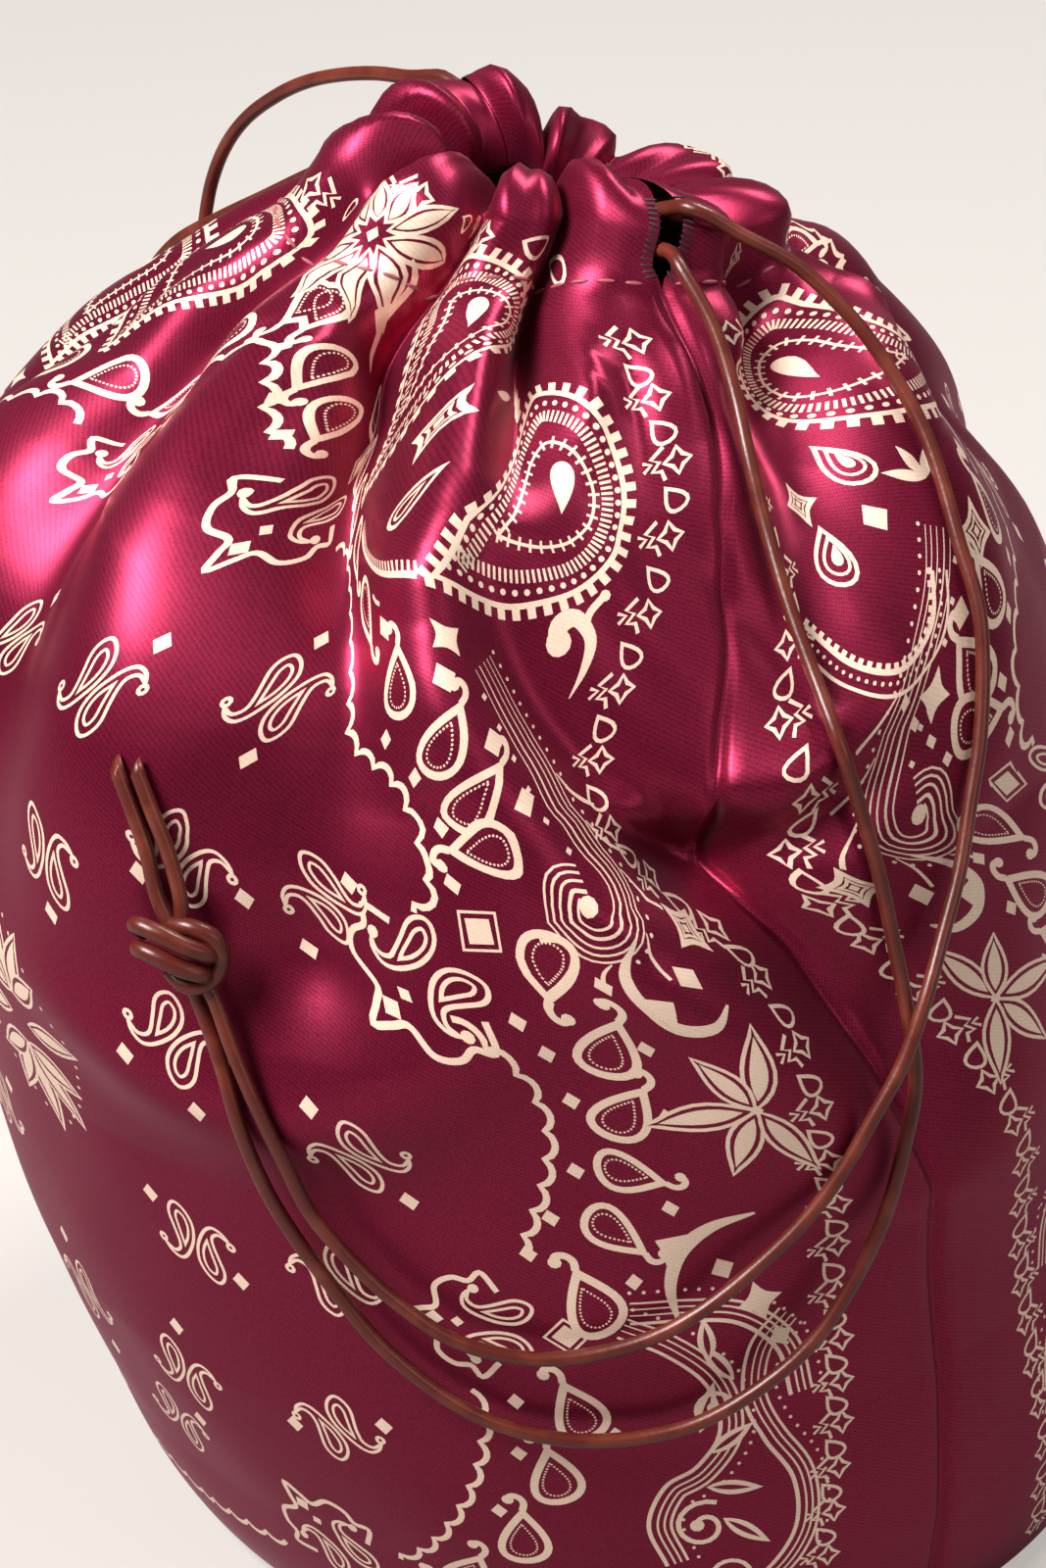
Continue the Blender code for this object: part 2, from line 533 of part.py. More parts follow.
def main():
    """Build the pouch."""
    remove_scene_objects()
    satin = plain_material("burgundy_satin", (0.16, 0.012, 0.04), 0.3)
    leather = plain_material("brown_leather", (0.09, 0.018, 0.01), 0.35)
    cloth_object("front_panel", *panel_grid(-180.0), satin)
    cloth_object("back_panel", *panel_grid(0.0), satin)
    round_base("base_panel", satin)
    right_routes = (RIGHT_UPPER_ROUTE, RIGHT_LOWER_ROUTE)
    left_routes = (LEFT_UPPER_ROUTE, LEFT_LOWER_ROUTE)
    drawcord("right", 0.0, right_routes, RIGHT_KNOT, RIGHT_TAIL_ROUTES, leather)
    drawcord("left", 180.0, left_routes, LEFT_KNOT, LEFT_TAIL_ROUTES, leather)


main()
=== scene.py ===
"""Kinchaku drawstring pouch of printed burgundy satin, gathered by two brown leather cords.

The CAD frame gives every place. This script makes the two printed panels, the cords with their
knots, the stitching and the studio. Lengths are in metres; the tables, the flat cloth and its print are
in mm. A place on the wall is an angle around the pouch, in degrees, and a run, the length along the
wall from base to rim.
"""

import logging
import math
from dataclasses import dataclass, field
from enum import Enum
from typing import Any

import bpy
import numpy as np
from mathutils import Matrix, Vector
from mathutils.geometry import delaunay_2d_cdt


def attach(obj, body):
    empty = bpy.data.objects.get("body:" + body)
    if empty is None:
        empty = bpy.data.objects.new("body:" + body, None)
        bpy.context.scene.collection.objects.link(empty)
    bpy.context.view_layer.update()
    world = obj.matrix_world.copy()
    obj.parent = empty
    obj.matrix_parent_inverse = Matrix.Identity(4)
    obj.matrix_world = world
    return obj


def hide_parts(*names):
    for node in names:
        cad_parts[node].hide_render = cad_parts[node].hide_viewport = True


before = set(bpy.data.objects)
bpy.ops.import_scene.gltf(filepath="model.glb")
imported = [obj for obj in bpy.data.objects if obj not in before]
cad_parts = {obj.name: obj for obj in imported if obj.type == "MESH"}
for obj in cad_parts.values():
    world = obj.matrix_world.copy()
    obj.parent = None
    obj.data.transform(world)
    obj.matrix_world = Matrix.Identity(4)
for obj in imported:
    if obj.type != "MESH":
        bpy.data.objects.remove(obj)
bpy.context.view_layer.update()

LOG = logging.getLogger("pouch")
MM = 0.001
Points = np.ndarray
Line = tuple[tuple[float, ...], ...]
Colour = tuple[float, float, float]
Faces = list[tuple[int, ...]]

SATIN_RED: Colour = (0.178, 0.0080, 0.032)
SATIN_SHEEN: Colour = (1.0, 0.58, 0.69)
LIMP = 1e-12


class Side(Enum):
    """Side seam that a drawcord leaves from."""

    RIGHT = "right"
    LEFT = "left"


class Paint(Enum):
    """What a shape of the print shows."""

    GROUND = 0
    CREAM = 1


def smooth_curve(points: Line | Points, steps: int) -> Points:
    """Catmull-Rom curve through points.

    Args:
        points: The points that the curve passes.
        steps: Number of steps between each two of them.

    Returns:
        The points of the curve.
    """
    known = np.asarray(points, dtype=float)
    padded = np.vstack([2 * known[0] - known[1], known, 2 * known[-1] - known[-2]])
    pieces = []
    for i in range(1, len(padded) - 2):
        a, b, c, d = padded[i - 1], padded[i], padded[i + 1], padded[i + 2]
        t = np.linspace(0.0, 1.0, steps, endpoint=False)[:, None]
        line = 2 * b + (c - a) * t
        bend = (2 * a - 5 * b + 4 * c - d) * t ** 2
        twist = (3 * b - a - 3 * c + d) * t ** 3
        pieces.append(0.5 * (line + bend + twist))
    pieces.append(known[-1:])
    return np.vstack(pieces)


def unit(vectors: Points) -> Points:
    """Vectors of length 1 along some vectors."""
    return vectors / np.maximum(np.linalg.norm(vectors, axis=-1, keepdims=True), LIMP)


def even_points(points: Points, step: float) -> Points:
    """Points about a step apart along a line, with both its ends.

    Args:
        points: The line.
        step: Distance between two points.

    Returns:
        The evenly spaced points.
    """
    length = np.concatenate([[0.0], np.cumsum(np.linalg.norm(np.diff(points, axis=0), axis=1))])
    count = max(int(round(length[-1] / step)), 2)
    at = np.linspace(0.0, length[-1], count + 1)
    return np.stack([np.interp(at, length, points[:, k]) for k in range(points.shape[1])], axis=1)


def soft_step(x: Points, low: float, high: float) -> Points:
    """Smooth step from 0 at low to 1 at high, read at x."""
    t = np.clip((np.asarray(x) - low) / (high - low), 0.0, 1.0)
    return t * t * (3.0 - 2.0 * t)


def turned_degrees(angle: Points, centre: Points | float) -> Points:
    """Signed turn in degrees from a centre to an angle, from -180 to 180."""
    return (angle - centre + 180.0) % 360.0 - 180.0


def valley(rim: float, depth: float, *below: tuple[float, ...]) -> Line:
    """A fold between two gathers, as rows of run, angle, height and half width.

    Args:
        rim: Its angle at the rim.
        depth: Its height just under the rim.
        below: Its rows further down.

    Returns:
        The whole fold.
    """
    return ((240, rim, -5, 7), (224, rim, -5.5, 7), (215, rim, depth, 7), *below)


@dataclass
class PouchForm:
    """The wall of the pouch: a profile turned round the base, leaning, with folds and dents."""

    wall: float = 0.8 * MM
    base_radius: float = 64.0 * MM
    belly_radius: float = 83.5 * MM
    shoulder_height: float = 153.0 * MM
    stitch_radius: float = 27.0 * MM
    stitch_height: float = 192.0 * MM
    casing_height: float = 15.5 * MM
    rim_radius: float = 22.0 * MM
    neck_oval: float = 0.34
    lean_direction: float = 47.0
    lining_fold_share: float = 0.12
    lining_inset: float = 10.5 * MM
    slit_width: float = 2.6 * MM
    seam_reach: float = 65.0
    lean: Line = (
        (0, 0), (25, -4), (50, -10), (100, -17), (150, -23), (170, -23), (185, -17), (200, -10), (215, -9),
    )
    seam_sway: Line = (
        (0, -8), (21, -8), (56, -4), (89, -4), (109, -8), (127, -13), (139, -19), (152, -18), (168, -12),
        (184, -7), (200, -3), (240, -2),
    )
    neck_tilts: Line = ((62.0, 48.0, -6.0), (-170.0, 60.0, 3.5))
    valleys: Line = (
        valley(-76, -10, (204, -65, -11, 7), (186, -58, -10, 7),
         (163, -53, -7, 8), (140, -57, -4, 8), (118, -60, 0, 9)),
        valley(-36, -9, (203, -37, -5, 7), (188, -40, 0, 7)),
        ((240, 26, -5, 7), (224, 25, -5.5, 7), (215, 24, -9, 7), (203, 14, -9, 8), (188, 8, -6, 8),
         (170, -2, -3, 9), (155, -10, 0, 9)),
        ((240, -112, -5, 7), (224, -113, -5.5, 7), (215, -113, -9, 7), (196, -102, -8, 8), (172, -97, -6, 9),
         (148, -97, -4, 9), (118, -98, 0, 9)),
        valley(-148, -9, (196, -140, -7, 8), (172, -134, -3, 9),
         (150, -130, 0, 9)),
        valley(64, -9, (196, 58, -6, 8), (172, 52, -3, 9),
         (150, 50, 0, 9)),
        valley(104, -9, (196, 101, -7, 8), (170, 98, -4, 9),
         (140, 99, 0, 9)),
        valley(150, -9, (196, 152, -7, 8), (165, 158, -4, 9),
         (135, 163, 0, 9)),
    )
    ridges: Line = (
        ((222, -97, 0, 12), (206, -93, 4, 13), (187, -83, 7, 12), (163, -78, 7, 12), (140, -79, 6, 13),
         (118, -82, 3, 13), (95, -82, 0, 12)),
        ((222, -55, 0, 8), (206, -49, 4, 8), (190, -46, 5, 8), (174, -47, 5, 8), (152, -45, 0, 9)),
        ((192, -44, 0, 6), (179, -39, -4, 6), (168, -35, -6, 6), (156, -30, -6, 6), (145, -26, -4, 6),
         (130, -21, 0, 6)),
        ((176, -50, 0, 6), (162, -43, 2.5, 6), (148, -36, 3, 6), (136, -30, 2.5, 7), (120, -24, 0, 7)),
        ((152, -20, 0, 6), (141, -20, -5, 6), (130, -15, -6, 6), (118, -10, -5, 6), (106, -5, -3, 7),
         (88, -3, 0, 8)),
        ((146, -34, 0, 8), (130, -28, 3, 8), (116, -20, 4, 8), (102, -14, 3, 9), (84, -12, 0, 10)),
        ((212, 36, 0, 12), (196, 30, 4, 13), (176, 24, 6, 14), (156, 18, 5, 14), (134, 16, 0, 14)),
        ((196, -122, 0, 13), (178, -118, 4, 14), (156, -114, 4, 14), (130, -112, 0, 14)),
        ((206, 84, 0, 12), (186, 80, 4, 14), (158, 78, 4, 14), (130, 76, 0, 14)),
        ((206, 126, 0, 12), (186, 126, 5, 14), (156, 130, 4, 14), (126, 134, 0, 14)),
        ((176, 60, 0, 6), (160, 66, -3, 6), (144, 72, -4, 6), (128, 78, 0, 7)),
        ((172, 138, 0, 6), (154, 132, -3, 6), (136, 126, -4, 7), (118, 120, 0, 7)),
    )
    dents: Line = (
        (-21, 143, -6.0, 9, 8, 0), (-22, 172, -5.0, 13, 26, -10), (-59, 131, -3.5, 9, 8, 0),
        (-78, 114, 2.6, 16, 8, -18), (-62, 109, 2.8, 18, 8, 6), (-48, 119, 2.4, 16, 8, 28),
        (4, 92, 3.0, 22, 15, 0), (-10, 151, 3.0, 14, 4, 18), (-60, 62, 1.5, 40, 26, 0),
        (-11, 143, -2.4, 12, 4, 18), (-18, 150, 1.8, 5, 2.6, 35), (-26, 150, 2.0, 5, 2.4, -40),
        (-28, 137, 1.6, 8, 3, -24),
        (-150, 92, 3.0, 26, 22, 0), (150, 80, 2.5, 30, 20, 0), (100, 118, -4.0, 14, 12, 0),
        (92, 84, 3.0, 30, 20, 0), (50, 112, 2.5, 22, 18, 0), (178, 130, -4.0, 12, 10, 0),
    )
    wrinkles: Line = (
        ((216, -25, 0, 3.2), (206, -25, 1.4, 3.2), (194, -24, 0, 3.4)),
        ((214, -15, 0, 3.0), (205, -15, -1.3, 3.0), (188, -16, 0, 3.0)),
        ((217, -6, 0, 2.6), (208, -6, 1.2, 2.6), (196, -7, 0, 2.6)),
        ((214, 4, 0, 3.0), (204, 3, -1.2, 3.0), (188, 1, 0, 3.0)),
        ((216, 44, 0, 3.0), (206, 43, 1.3, 3.0), (192, 42, 0, 3.2)),
        ((214, 84, 0, 3.0), (204, 84, -1.2, 3.0), (190, 83, 0, 3.0)),
        ((215, -84, 0, 3.0), (205, -83, 1.3, 3.0), (191, -81, 0, 3.0)),
        ((214, -94, 0, 2.6), (205, -94, -1.2, 2.6), (192, -92, 0, 2.6)),
        ((215, -104, 0, 3.0), (205, -102, 1.1, 3.0), (190, -99, 0, 3.0)),
        ((215, -128, 0, 3.0), (204, -127, -1.3, 3.0), (188, -124, 0, 3.0)),
        ((215, 126, 0, 3.0), (204, 126, 1.2, 3.0), (190, 125, 0, 3.0)),
        ((192, -24, 0, 3.4), (177, -22, 1.4, 3.4), (160, -16, 0, 3.6)),
        ((188, -13, 0, 3.0), (173, -9, -1.3, 3.0), (156, -5, 0, 3.0)),
        ((180, 7, 0, 3.0), (165, 4, 1.1, 3.0), (148, 2, 0, 3.2)),
        ((190, -97, 0, 2.6), (172, -93, 1.0, 2.6), (150, -91, 0, 2.6)),
        ((182, -126, 0, 3.0), (166, -124, 1.2, 3.0), (146, -121, 0, 3.2)),
        ((160, -64, 0, 2.8), (147, -67, -1.1, 2.8), (130, -70, 0, 3.0)),
    )
    rim_puffs: Line = (
        (-180, 8.5), (-162, 8.5), (-130, 9.0), (-94, 7.0), (-56, 5.5), (-20, 7.5), (12, 5.0), (45, 6.0),
        (84, 3.5), (127, 2.5), (162, 8.5), (180, 8.5),
    )
    crease_depth: float = 0.75
    crease_half: float = 5.0
    rim_ripples: Line = ((0.16, 11.0, 0.5), (0.06, 23.0, 2.1))
    mouth_gap: float = 1.6 * MM
    ripples: Line = (
        (0.10, 14.0, 3.1, 0.4), (0.09, -9.0, 5.3, 1.9), (0.12, 5.0, 7.7, 2.6), (0.07, 17.0, 9.1, 0.9),
        (0.06, -21.0, 12.0, 4.0), (0.05, 26.0, -15.0, 5.1),
    )

    def __post_init__(self) -> None:
        """Work out the profile and the fine lines of the folds."""
        floor, rise = self.wall / 2, self.shoulder_height
        rim_height = self.stitch_height + self.casing_height * 0.84
        belly, base = self.belly_radius, self.base_radius
        points = (
            (base + 0.3 * MM, floor), (base + 5 * MM, floor), (base + 9 * MM, 5 * MM),
            (belly - 7 * MM, 16 * MM), (belly - 4 * MM, 36 * MM), (belly - 1.5 * MM, 70 * MM),
            (belly, 105 * MM), (belly - 3 * MM, 132 * MM), (belly - 11.5 * MM, rise),
            (belly - 25 * MM, rise + 17 * MM), (belly - 40 * MM, rise + 28.5 * MM),
            (self.stitch_radius + 5 * MM, self.stitch_height - 3.5 * MM),
            (self.stitch_radius, self.stitch_height),
            ((self.stitch_radius + self.rim_radius) / 2, (self.stitch_height + rim_height) / 2),
            (self.rim_radius, rim_height),
        )
        self.line = smooth_curve(points, 12)
        self.runs = np.concatenate([[0.0], np.cumsum(np.hypot(*np.diff(self.line, axis=0).T))])
        self.stitch_run, self.rim_run = float(self.runs[12 * 12]), float(self.runs[-1])
        folds = self.valleys + self.ridges + self.wrinkles
        self.fold_lines = [smooth_curve(sorted(fold), 6) for fold in folds]

    def sway(self, angle: Points, run: Points) -> Points:
        """Turn of the cloth round the pouch near the right side seam, in degrees."""
        runs, turns = np.array(self.seam_sway).T
        window = np.clip(np.abs(turned_degrees(angle, 0.0)) / self.seam_reach, 0.0, 1.0)
        return np.interp(run, runs * MM, turns) * np.cos(window * math.pi / 2) ** 2

    def fold_height(self, place: Points, run: Points) -> Points:
        """Height of the cloth over the plain form.

        Args:
            place: Angles around the pouch, in degrees.
            run: Runs along the wall.

        Returns:
            The height at each place.
        """
        height = np.zeros(np.broadcast(place, run).shape)
        for fine in self.fold_lines:
            centre = np.interp(run, fine[:, 0] * MM, fine[:, 1])
            size = np.interp(run, fine[:, 0] * MM, fine[:, 2], left=0.0)
            half = np.interp(run, fine[:, 0] * MM, fine[:, 3])
            height += size * MM * np.exp(-(turned_degrees(place, centre) / half) ** 2)
        radius = np.interp(run, self.runs, self.line[:, 0])
        for angle, at, size, around, along, turn in self.dents:
            x = np.radians(turned_degrees(place, angle)) * radius
            y = run - at * MM
            c, s = math.cos(math.radians(turn)), math.sin(math.radians(turn))
            u, v = (x * c + y * s) / (around * MM), (y * c - x * s) / (along * MM)
            height += size * MM * np.exp(-u * u - v * v)
        around_turn, along_turn = np.radians(place), run / (100 * MM)
        for size, waves, rate, phase in self.ripples:
            height += size * MM * np.sin(waves * around_turn + rate * along_turn * 2 * math.pi / 4 + phase)
        return height * soft_step(run, 6 * MM, 40 * MM)

    def point(self, angle: Points, run: Points, fold_share: float = 1.0, inset: float = 0.0) -> Points:
        """Middle of the cloth at angles and runs.

        Args:
            angle: Angles in degrees.
            run: Runs in metres.
            fold_share: Share of the folds that this layer has.
            inset: Distance of the layer inside the wall.

        Returns:
            The points.
        """
        angle, run = np.broadcast_arrays(np.asarray(angle, float), np.asarray(run, float))
        place = angle + self.sway(angle, run)
        radius = np.interp(run, self.runs, self.line[:, 0])
        height = np.interp(run, self.runs, self.line[:, 1])
        ahead, behind = np.minimum(run + 1.5 * MM, self.rim_run), np.maximum(run - 1.5 * MM, 0.0)
        rise, spread = (np.interp(ahead, self.runs, side) - np.interp(behind, self.runs, side)
                        for side in (self.line[:, 1], self.line[:, 0]))
        length = np.hypot(rise, spread)
        lift = self.fold_height(place, run) * fold_share - inset
        oval = self.neck_oval * soft_step(run, self.stitch_run - 40 * MM, self.rim_run)
        radius = radius * (1.0 + oval * np.cos(2.0 * np.radians(place - self.lean_direction)))
        radius = radius + lift * rise / length
        height = height - lift * spread / length
        for tilt_angle, reach, tilt in self.neck_tilts:
            near = np.exp(-(turned_degrees(place, tilt_angle) / reach) ** 2)
            height = height + tilt * MM * near * soft_step(run, self.stitch_run - 30 * MM, self.rim_run)
        heights, shifts = np.array(self.lean).T
        lean = np.interp(height, heights * MM, shifts * MM)
        aside, turn = math.radians(self.lean_direction), np.radians(place)
        x = radius * np.cos(turn) + lean * math.cos(aside)
        y = radius * np.sin(turn) + lean * math.sin(aside)
        return np.stack([x, y, height], axis=-1)

    def rim_rise(self, angle: Points) -> Points:
        """Height of the puffs over the rim: soft lobes with a crease at each valley."""
        angles, rises = np.array(self.rim_puffs).T
        place = turned_degrees(angle + self.sway(angle, np.full_like(angle, self.rim_run)), 0.0)
        rise = np.interp(place, angles, rises) * MM
        for share, waves, phase in self.rim_ripples:
            rise = rise * (1.0 + share * np.sin(waves * np.radians(place) + phase))
        crease = np.zeros_like(rise)
        for fold in self.valleys:
            near = turned_degrees(place, fold[0][1]) / self.crease_half
            crease = np.maximum(crease, np.exp(-near ** 2))
        return rise * (1.0 - self.crease_depth * crease)

    def lining(self, angle: Points, run: Points) -> Points:
        """Middle of the lining inside the casing, drawn together so the mouth closes."""
        place = angle + self.sway(angle, run)
        mouth = self.rim_radius * (1.0 + self.neck_oval * np.cos(2.0 * np.radians(place - self.lean_direction)))
        drawn = np.maximum(mouth - self.lining_inset - self.mouth_gap, 0.0)
        drawn = drawn * soft_step(run, self.stitch_run - 2 * MM, self.rim_run)
        return self.point(angle, run, self.lining_fold_share, self.lining_inset + drawn)


@dataclass
class ClothMap:
    """Places the flat panel on the wall, so the print keeps its size on the folds that show.

    The flat panel is width wide and its x, in mm, runs from one side seam to the other. What the
    gathered neck has no room for is taken up in the bottoms of the valleys.
    """

    form: PouchForm
    start: float
    width: float = 262.0
    seam_dip: float = 1.1
    seam_half: float = 1.1
    roll: float = 23.0
    early_turn: float = 7.0
    step_mm: float = 2.0

    def __post_init__(self) -> None:
        """Work out the table from x to angle for each run."""
        form = self.form
        angles = np.arange(self.start, self.start + 180.25, 0.5)
        rim = form.rim_run / MM
        self.table_runs = np.append(np.arange(0.0, rim, self.step_mm), rim)
        grid, run = np.meshgrid(angles, self.table_runs * MM)
        points = form.point(grid, run) / MM
        arc = np.linalg.norm(np.diff(points, axis=1), axis=2)
        middle = (grid[:, 1:] + grid[:, :-1]) / 2
        place = middle + form.sway(middle, run[:, 1:])
        bottoms = np.full(arc.shape, 1e-6)
        for fine in form.fold_lines[:len(form.valleys)]:
            centre = np.interp(run[:, 1:], fine[:, 0] * MM, fine[:, 1])
            depth = -np.interp(run[:, 1:], fine[:, 0] * MM, fine[:, 2], left=0.0)
            bottoms += depth * np.exp(-(turned_degrees(place, centre) / 3.0) ** 2)
        total = arc.sum(axis=1, keepdims=True)
        even = arc / total
        bottoms = bottoms / bottoms.sum(axis=1, keepdims=True)
        share = soft_step(self.table_runs, 150.0, 195.0)[:, None]
        extra = self.width - total
        gathered = arc + extra * (share * bottoms + (1.0 - share) * even)
        arc = np.where(extra > 0.0, gathered, even * self.width)
        across = np.concatenate([np.zeros((len(arc), 1)), np.cumsum(arc, axis=1)], axis=1) - self.width / 2
        self.table_x = np.linspace(-self.width / 2, self.width / 2, int(self.width) * 2 + 1)
        self.table = np.array([np.interp(self.table_x, row, angles) for row in across])

    def angle(self, x: Points, run: Points, gap: Points | float = 1.0) -> Points:
        """Angle around the pouch of flat places.

        Args:
            x: Places across the panel in mm.
            run: Runs in mm.
            gap: Share of the slit's opening that is left out.

        Returns:
            The angles in degrees, with the slit's opening left out above the casing's stitch line.
        """
        column = np.clip((x + self.width / 2) * 2.0, 0.0, len(self.table_x) - 1.001)
        row = np.interp(run, self.table_runs, np.arange(len(self.table_runs)))
        row = np.minimum(row, len(self.table_runs) - 1.001)
        i, j = row.astype(int), column.astype(int)
        u, v = row - i, column - j
        low = self.table[i, j] * (1 - v) + self.table[i, j + 1] * v
        high = self.table[i + 1, j] * (1 - v) + self.table[i + 1, j + 1] * v
        angle = low * (1 - u) + high * u
        stitch = self.form.stitch_run / MM
        half = self.form.slit_width / 2 * gap * soft_step(run, stitch - 1.0, stitch + 2.5)
        radius = np.interp(run * MM, self.form.runs, self.form.line[:, 0])
        edge = np.degrees(half / np.maximum(radius, self.form.rim_radius))
        share = (angle - self.start) / 180.0
        return angle + edge * (1.0 - 2.0 * share)

    @property
    def turn(self) -> float:
        """Place along the cloth where the wall starts to curl over, in mm."""
        return self.form.rim_run / MM - self.early_turn

    @property
    def top(self) -> float:
        """Length of the panel with the rim's roll and the casing's lining, in mm."""
        return self.turn + self.roll + self.turn - self.form.stitch_run / MM

    def middle(self, angle: Points, v: Points) -> Points:
        """Middle of the cloth up the wall, over the rim and down the lining.

        Args:
            angle: Angles in degrees.
            v: Places along the cloth in mm.

        Returns:
            The points.
        """
        form, rim = self.form, self.turn
        points = form.point(angle, np.clip(v, 0.0, rim) * MM)
        past = v > rim
        if not past.any():
            return points
        down = np.maximum(v[past] - rim - self.roll, 0.0)
        turned = angle[past]
        run = (rim - down) * MM
        outer = points[past]
        inner = form.lining(turned, run)
        tangent = form.point(turned + 0.5, run) - form.point(turned - 0.5, run)
        upward = unit(np.cross(outer - inner, tangent))
        turn = (math.pi * np.clip((v[past] - rim) / self.roll, 0.0, 1.0))[:, None]
        rise = form.rim_rise(turned)[:, None]
        rolled = (outer + inner) / 2 + (outer - inner) / 2 * np.cos(turn) + upward * rise * np.sin(turn)
        points[past] = np.where(down[:, None] > 0.0, inner, rolled)
        return points

    def place(self, x: Points, v: Points) -> tuple[Points, Points]:
        """Points and normals of the outer face.

        Args:
            x: Places across the panel in mm.
            v: Places along the cloth in mm, over the rim and down the lining too.

        Returns:
            The points and their normals.
        """
        form, rim = self.form, self.turn
        run = np.where(v > rim + self.roll, rim - (v - rim - self.roll), np.minimum(v, rim))
        angle = self.angle(x, run, 1.0 - 0.9 * soft_step(v, rim + 3.0, rim + 10.0))
        turn, step = 0.35, 0.35
        around = self.middle(angle + turn, v) - self.middle(angle - turn, v)
        ahead, behind = np.minimum(v + step, self.top), np.maximum(v - step, 0.0)
        along = self.middle(angle, ahead) - self.middle(angle, behind)
        normal = unit(np.cross(around, along))
        seam = self.width / 2 - np.abs(x)
        stitch = form.stitch_run / MM
        below = 1.0 - soft_step(run, stitch - 4.0, stitch)
        dip = self.seam_dip * np.exp(-(seam / self.seam_half) ** 2) * below
        dip = (dip * soft_step(v, 6.0, 14.0))[:, None]
        face = self.middle(angle, v) + normal * (form.wall / 2 - dip * MM)
        face[:, 2] = np.maximum(face[:, 2], 0.0)
        side = np.sign(x)[:, None] * unit(around)
        return face, unit(normal + side * dip * (2.0 * seam[:, None] / self.seam_half ** 2))


def circle(radius: float, sides: int) -> Points:
    """Round outline about the origin."""
    turn = np.linspace(0.0, 2 * math.pi, sides, endpoint=False)
    return radius * np.stack([np.cos(turn), np.sin(turn)], axis=1)


def lens(length: float, width: float, sides: int = 9) -> Points:
    """Petal with two points, from the origin along +y."""
    y = np.linspace(0.0, 1.0, sides)
    x = np.sin(math.pi * y ** 0.85) * width / 2
    right, left = np.stack([x, y * length], axis=1), np.stack([-x, y * length], axis=1)
    return np.vstack([right, left[-2:0:-1]])


def drop(length: float, width: float, bend: float = 0.0, sides: int = 22) -> Points:
    """Teardrop about the origin with its point at +y, bent towards +x by a length."""
    turn = np.linspace(0.0, 2 * math.pi, sides, endpoint=False)
    y = -np.cos(turn + math.pi) * length / 2
    x = np.sin(turn) * np.abs(np.sin(turn / 2)) ** 1.3 * width / 1.5
    x = x + bend * np.clip(y / length + 0.5, 0.0, 1.0) ** 2
    return np.stack([x, y], axis=1)[::-1]


def star(points: int, radius: float, waist: float) -> Points:
    """Star outline about the origin with one point at +y."""
    turn = math.pi / 2 + math.pi * np.arange(2 * points) / points
    size = np.where(np.arange(2 * points) % 2 == 0, radius, waist)
    return np.stack([np.cos(turn) * size, np.sin(turn) * size], axis=1)


def inset(outline: Points, distance: float) -> Points:
    """Outline moved inwards by a distance."""
    ahead, behind = np.roll(outline, -1, axis=0), np.roll(outline, 1, axis=0)
    along = unit(ahead - behind)
    return outline + distance * np.stack([-along[:, 1], along[:, 0]], axis=1)


def sides_of(path: Points) -> Points:
    """Unit vectors to the left of a path at its points."""
    along = unit(np.gradient(path, axis=0))
    return np.stack([-along[:, 1], along[:, 0]], axis=1)


@dataclass
class Pen:
    """Places shapes in a part of the print: moved, turned and scaled."""

    x: float
    y: float
    turn: float = 0.0
    size: float = 1.0
    flip: bool = False

    def __call__(self, shape: Points) -> Points:
        """The shape in the flat panel's own place."""
        local = np.asarray(shape, dtype=float) * self.size
        if self.flip:
            local = local[::-1] * (-1.0, 1.0)
        c, s = math.cos(math.radians(self.turn)), math.sin(math.radians(self.turn))
        return local @ np.array([[c, s], [-s, c]]) + (self.x, self.y)


# A curled paisley's outer and inner line, with its tail to the left, and a crest's lobed frame
CURLED_OUTLINE: Line = (
    (-6.9, -0.2), (-6.2, -2.2), (-4.6, -3.2), (-2.9, -2.7), (-1.0, -1.0), (0.25, 0.7), (1.0, 2.7),
    (0.75, 4.6), (-0.25, 6.0),
    (-1.35, 6.35), (-2.55, 5.6), (-3.3, 4.15), (-3.4, 1.95), (-3.5, 0.0), (-3.9, -1.2), (-5.0, -1.7),
    (-5.9, -1.1), (-6.9, -0.2),
)
CURLED_INNER: Line = (
    (-2.7, -1.2), (-1.0, 0.5), (-0.1, 2.4), (-0.2, 4.1), (-1.2, 4.9), (-2.1, 3.9), (-2.35, 1.95),
    (-2.7, -1.2),
)
CREST_FRAME: Line = (
    (-6.2, 1.4), (-9.2, -1.0), (-7.4, -2.6), (-7.5, -5.0), (-5.6, -7.3), (-2.2, -7.2), (-1.2, -9.3),
    (0.0, -11.8), (1.2, -9.3),
    (2.2, -7.2), (5.6, -7.3), (7.5, -5.0), (7.4, -2.6), (9.2, -1.0), (6.2, 1.4),
)
PAISLEY_OUTLINE: Line = (
    (-21.5, -12.0), (-15.5, -6.0), (-10.2, 3.0), (-6.5, 11.0), (-2.0, 15.2), (4.5, 12.0), (8.2, 5.5),
    (9.2, -1.5), (6.5, -9.0),
    (0.0, -13.4), (-8.0, -14.6), (-15.0, -13.8), (-21.5, -12.0),
)


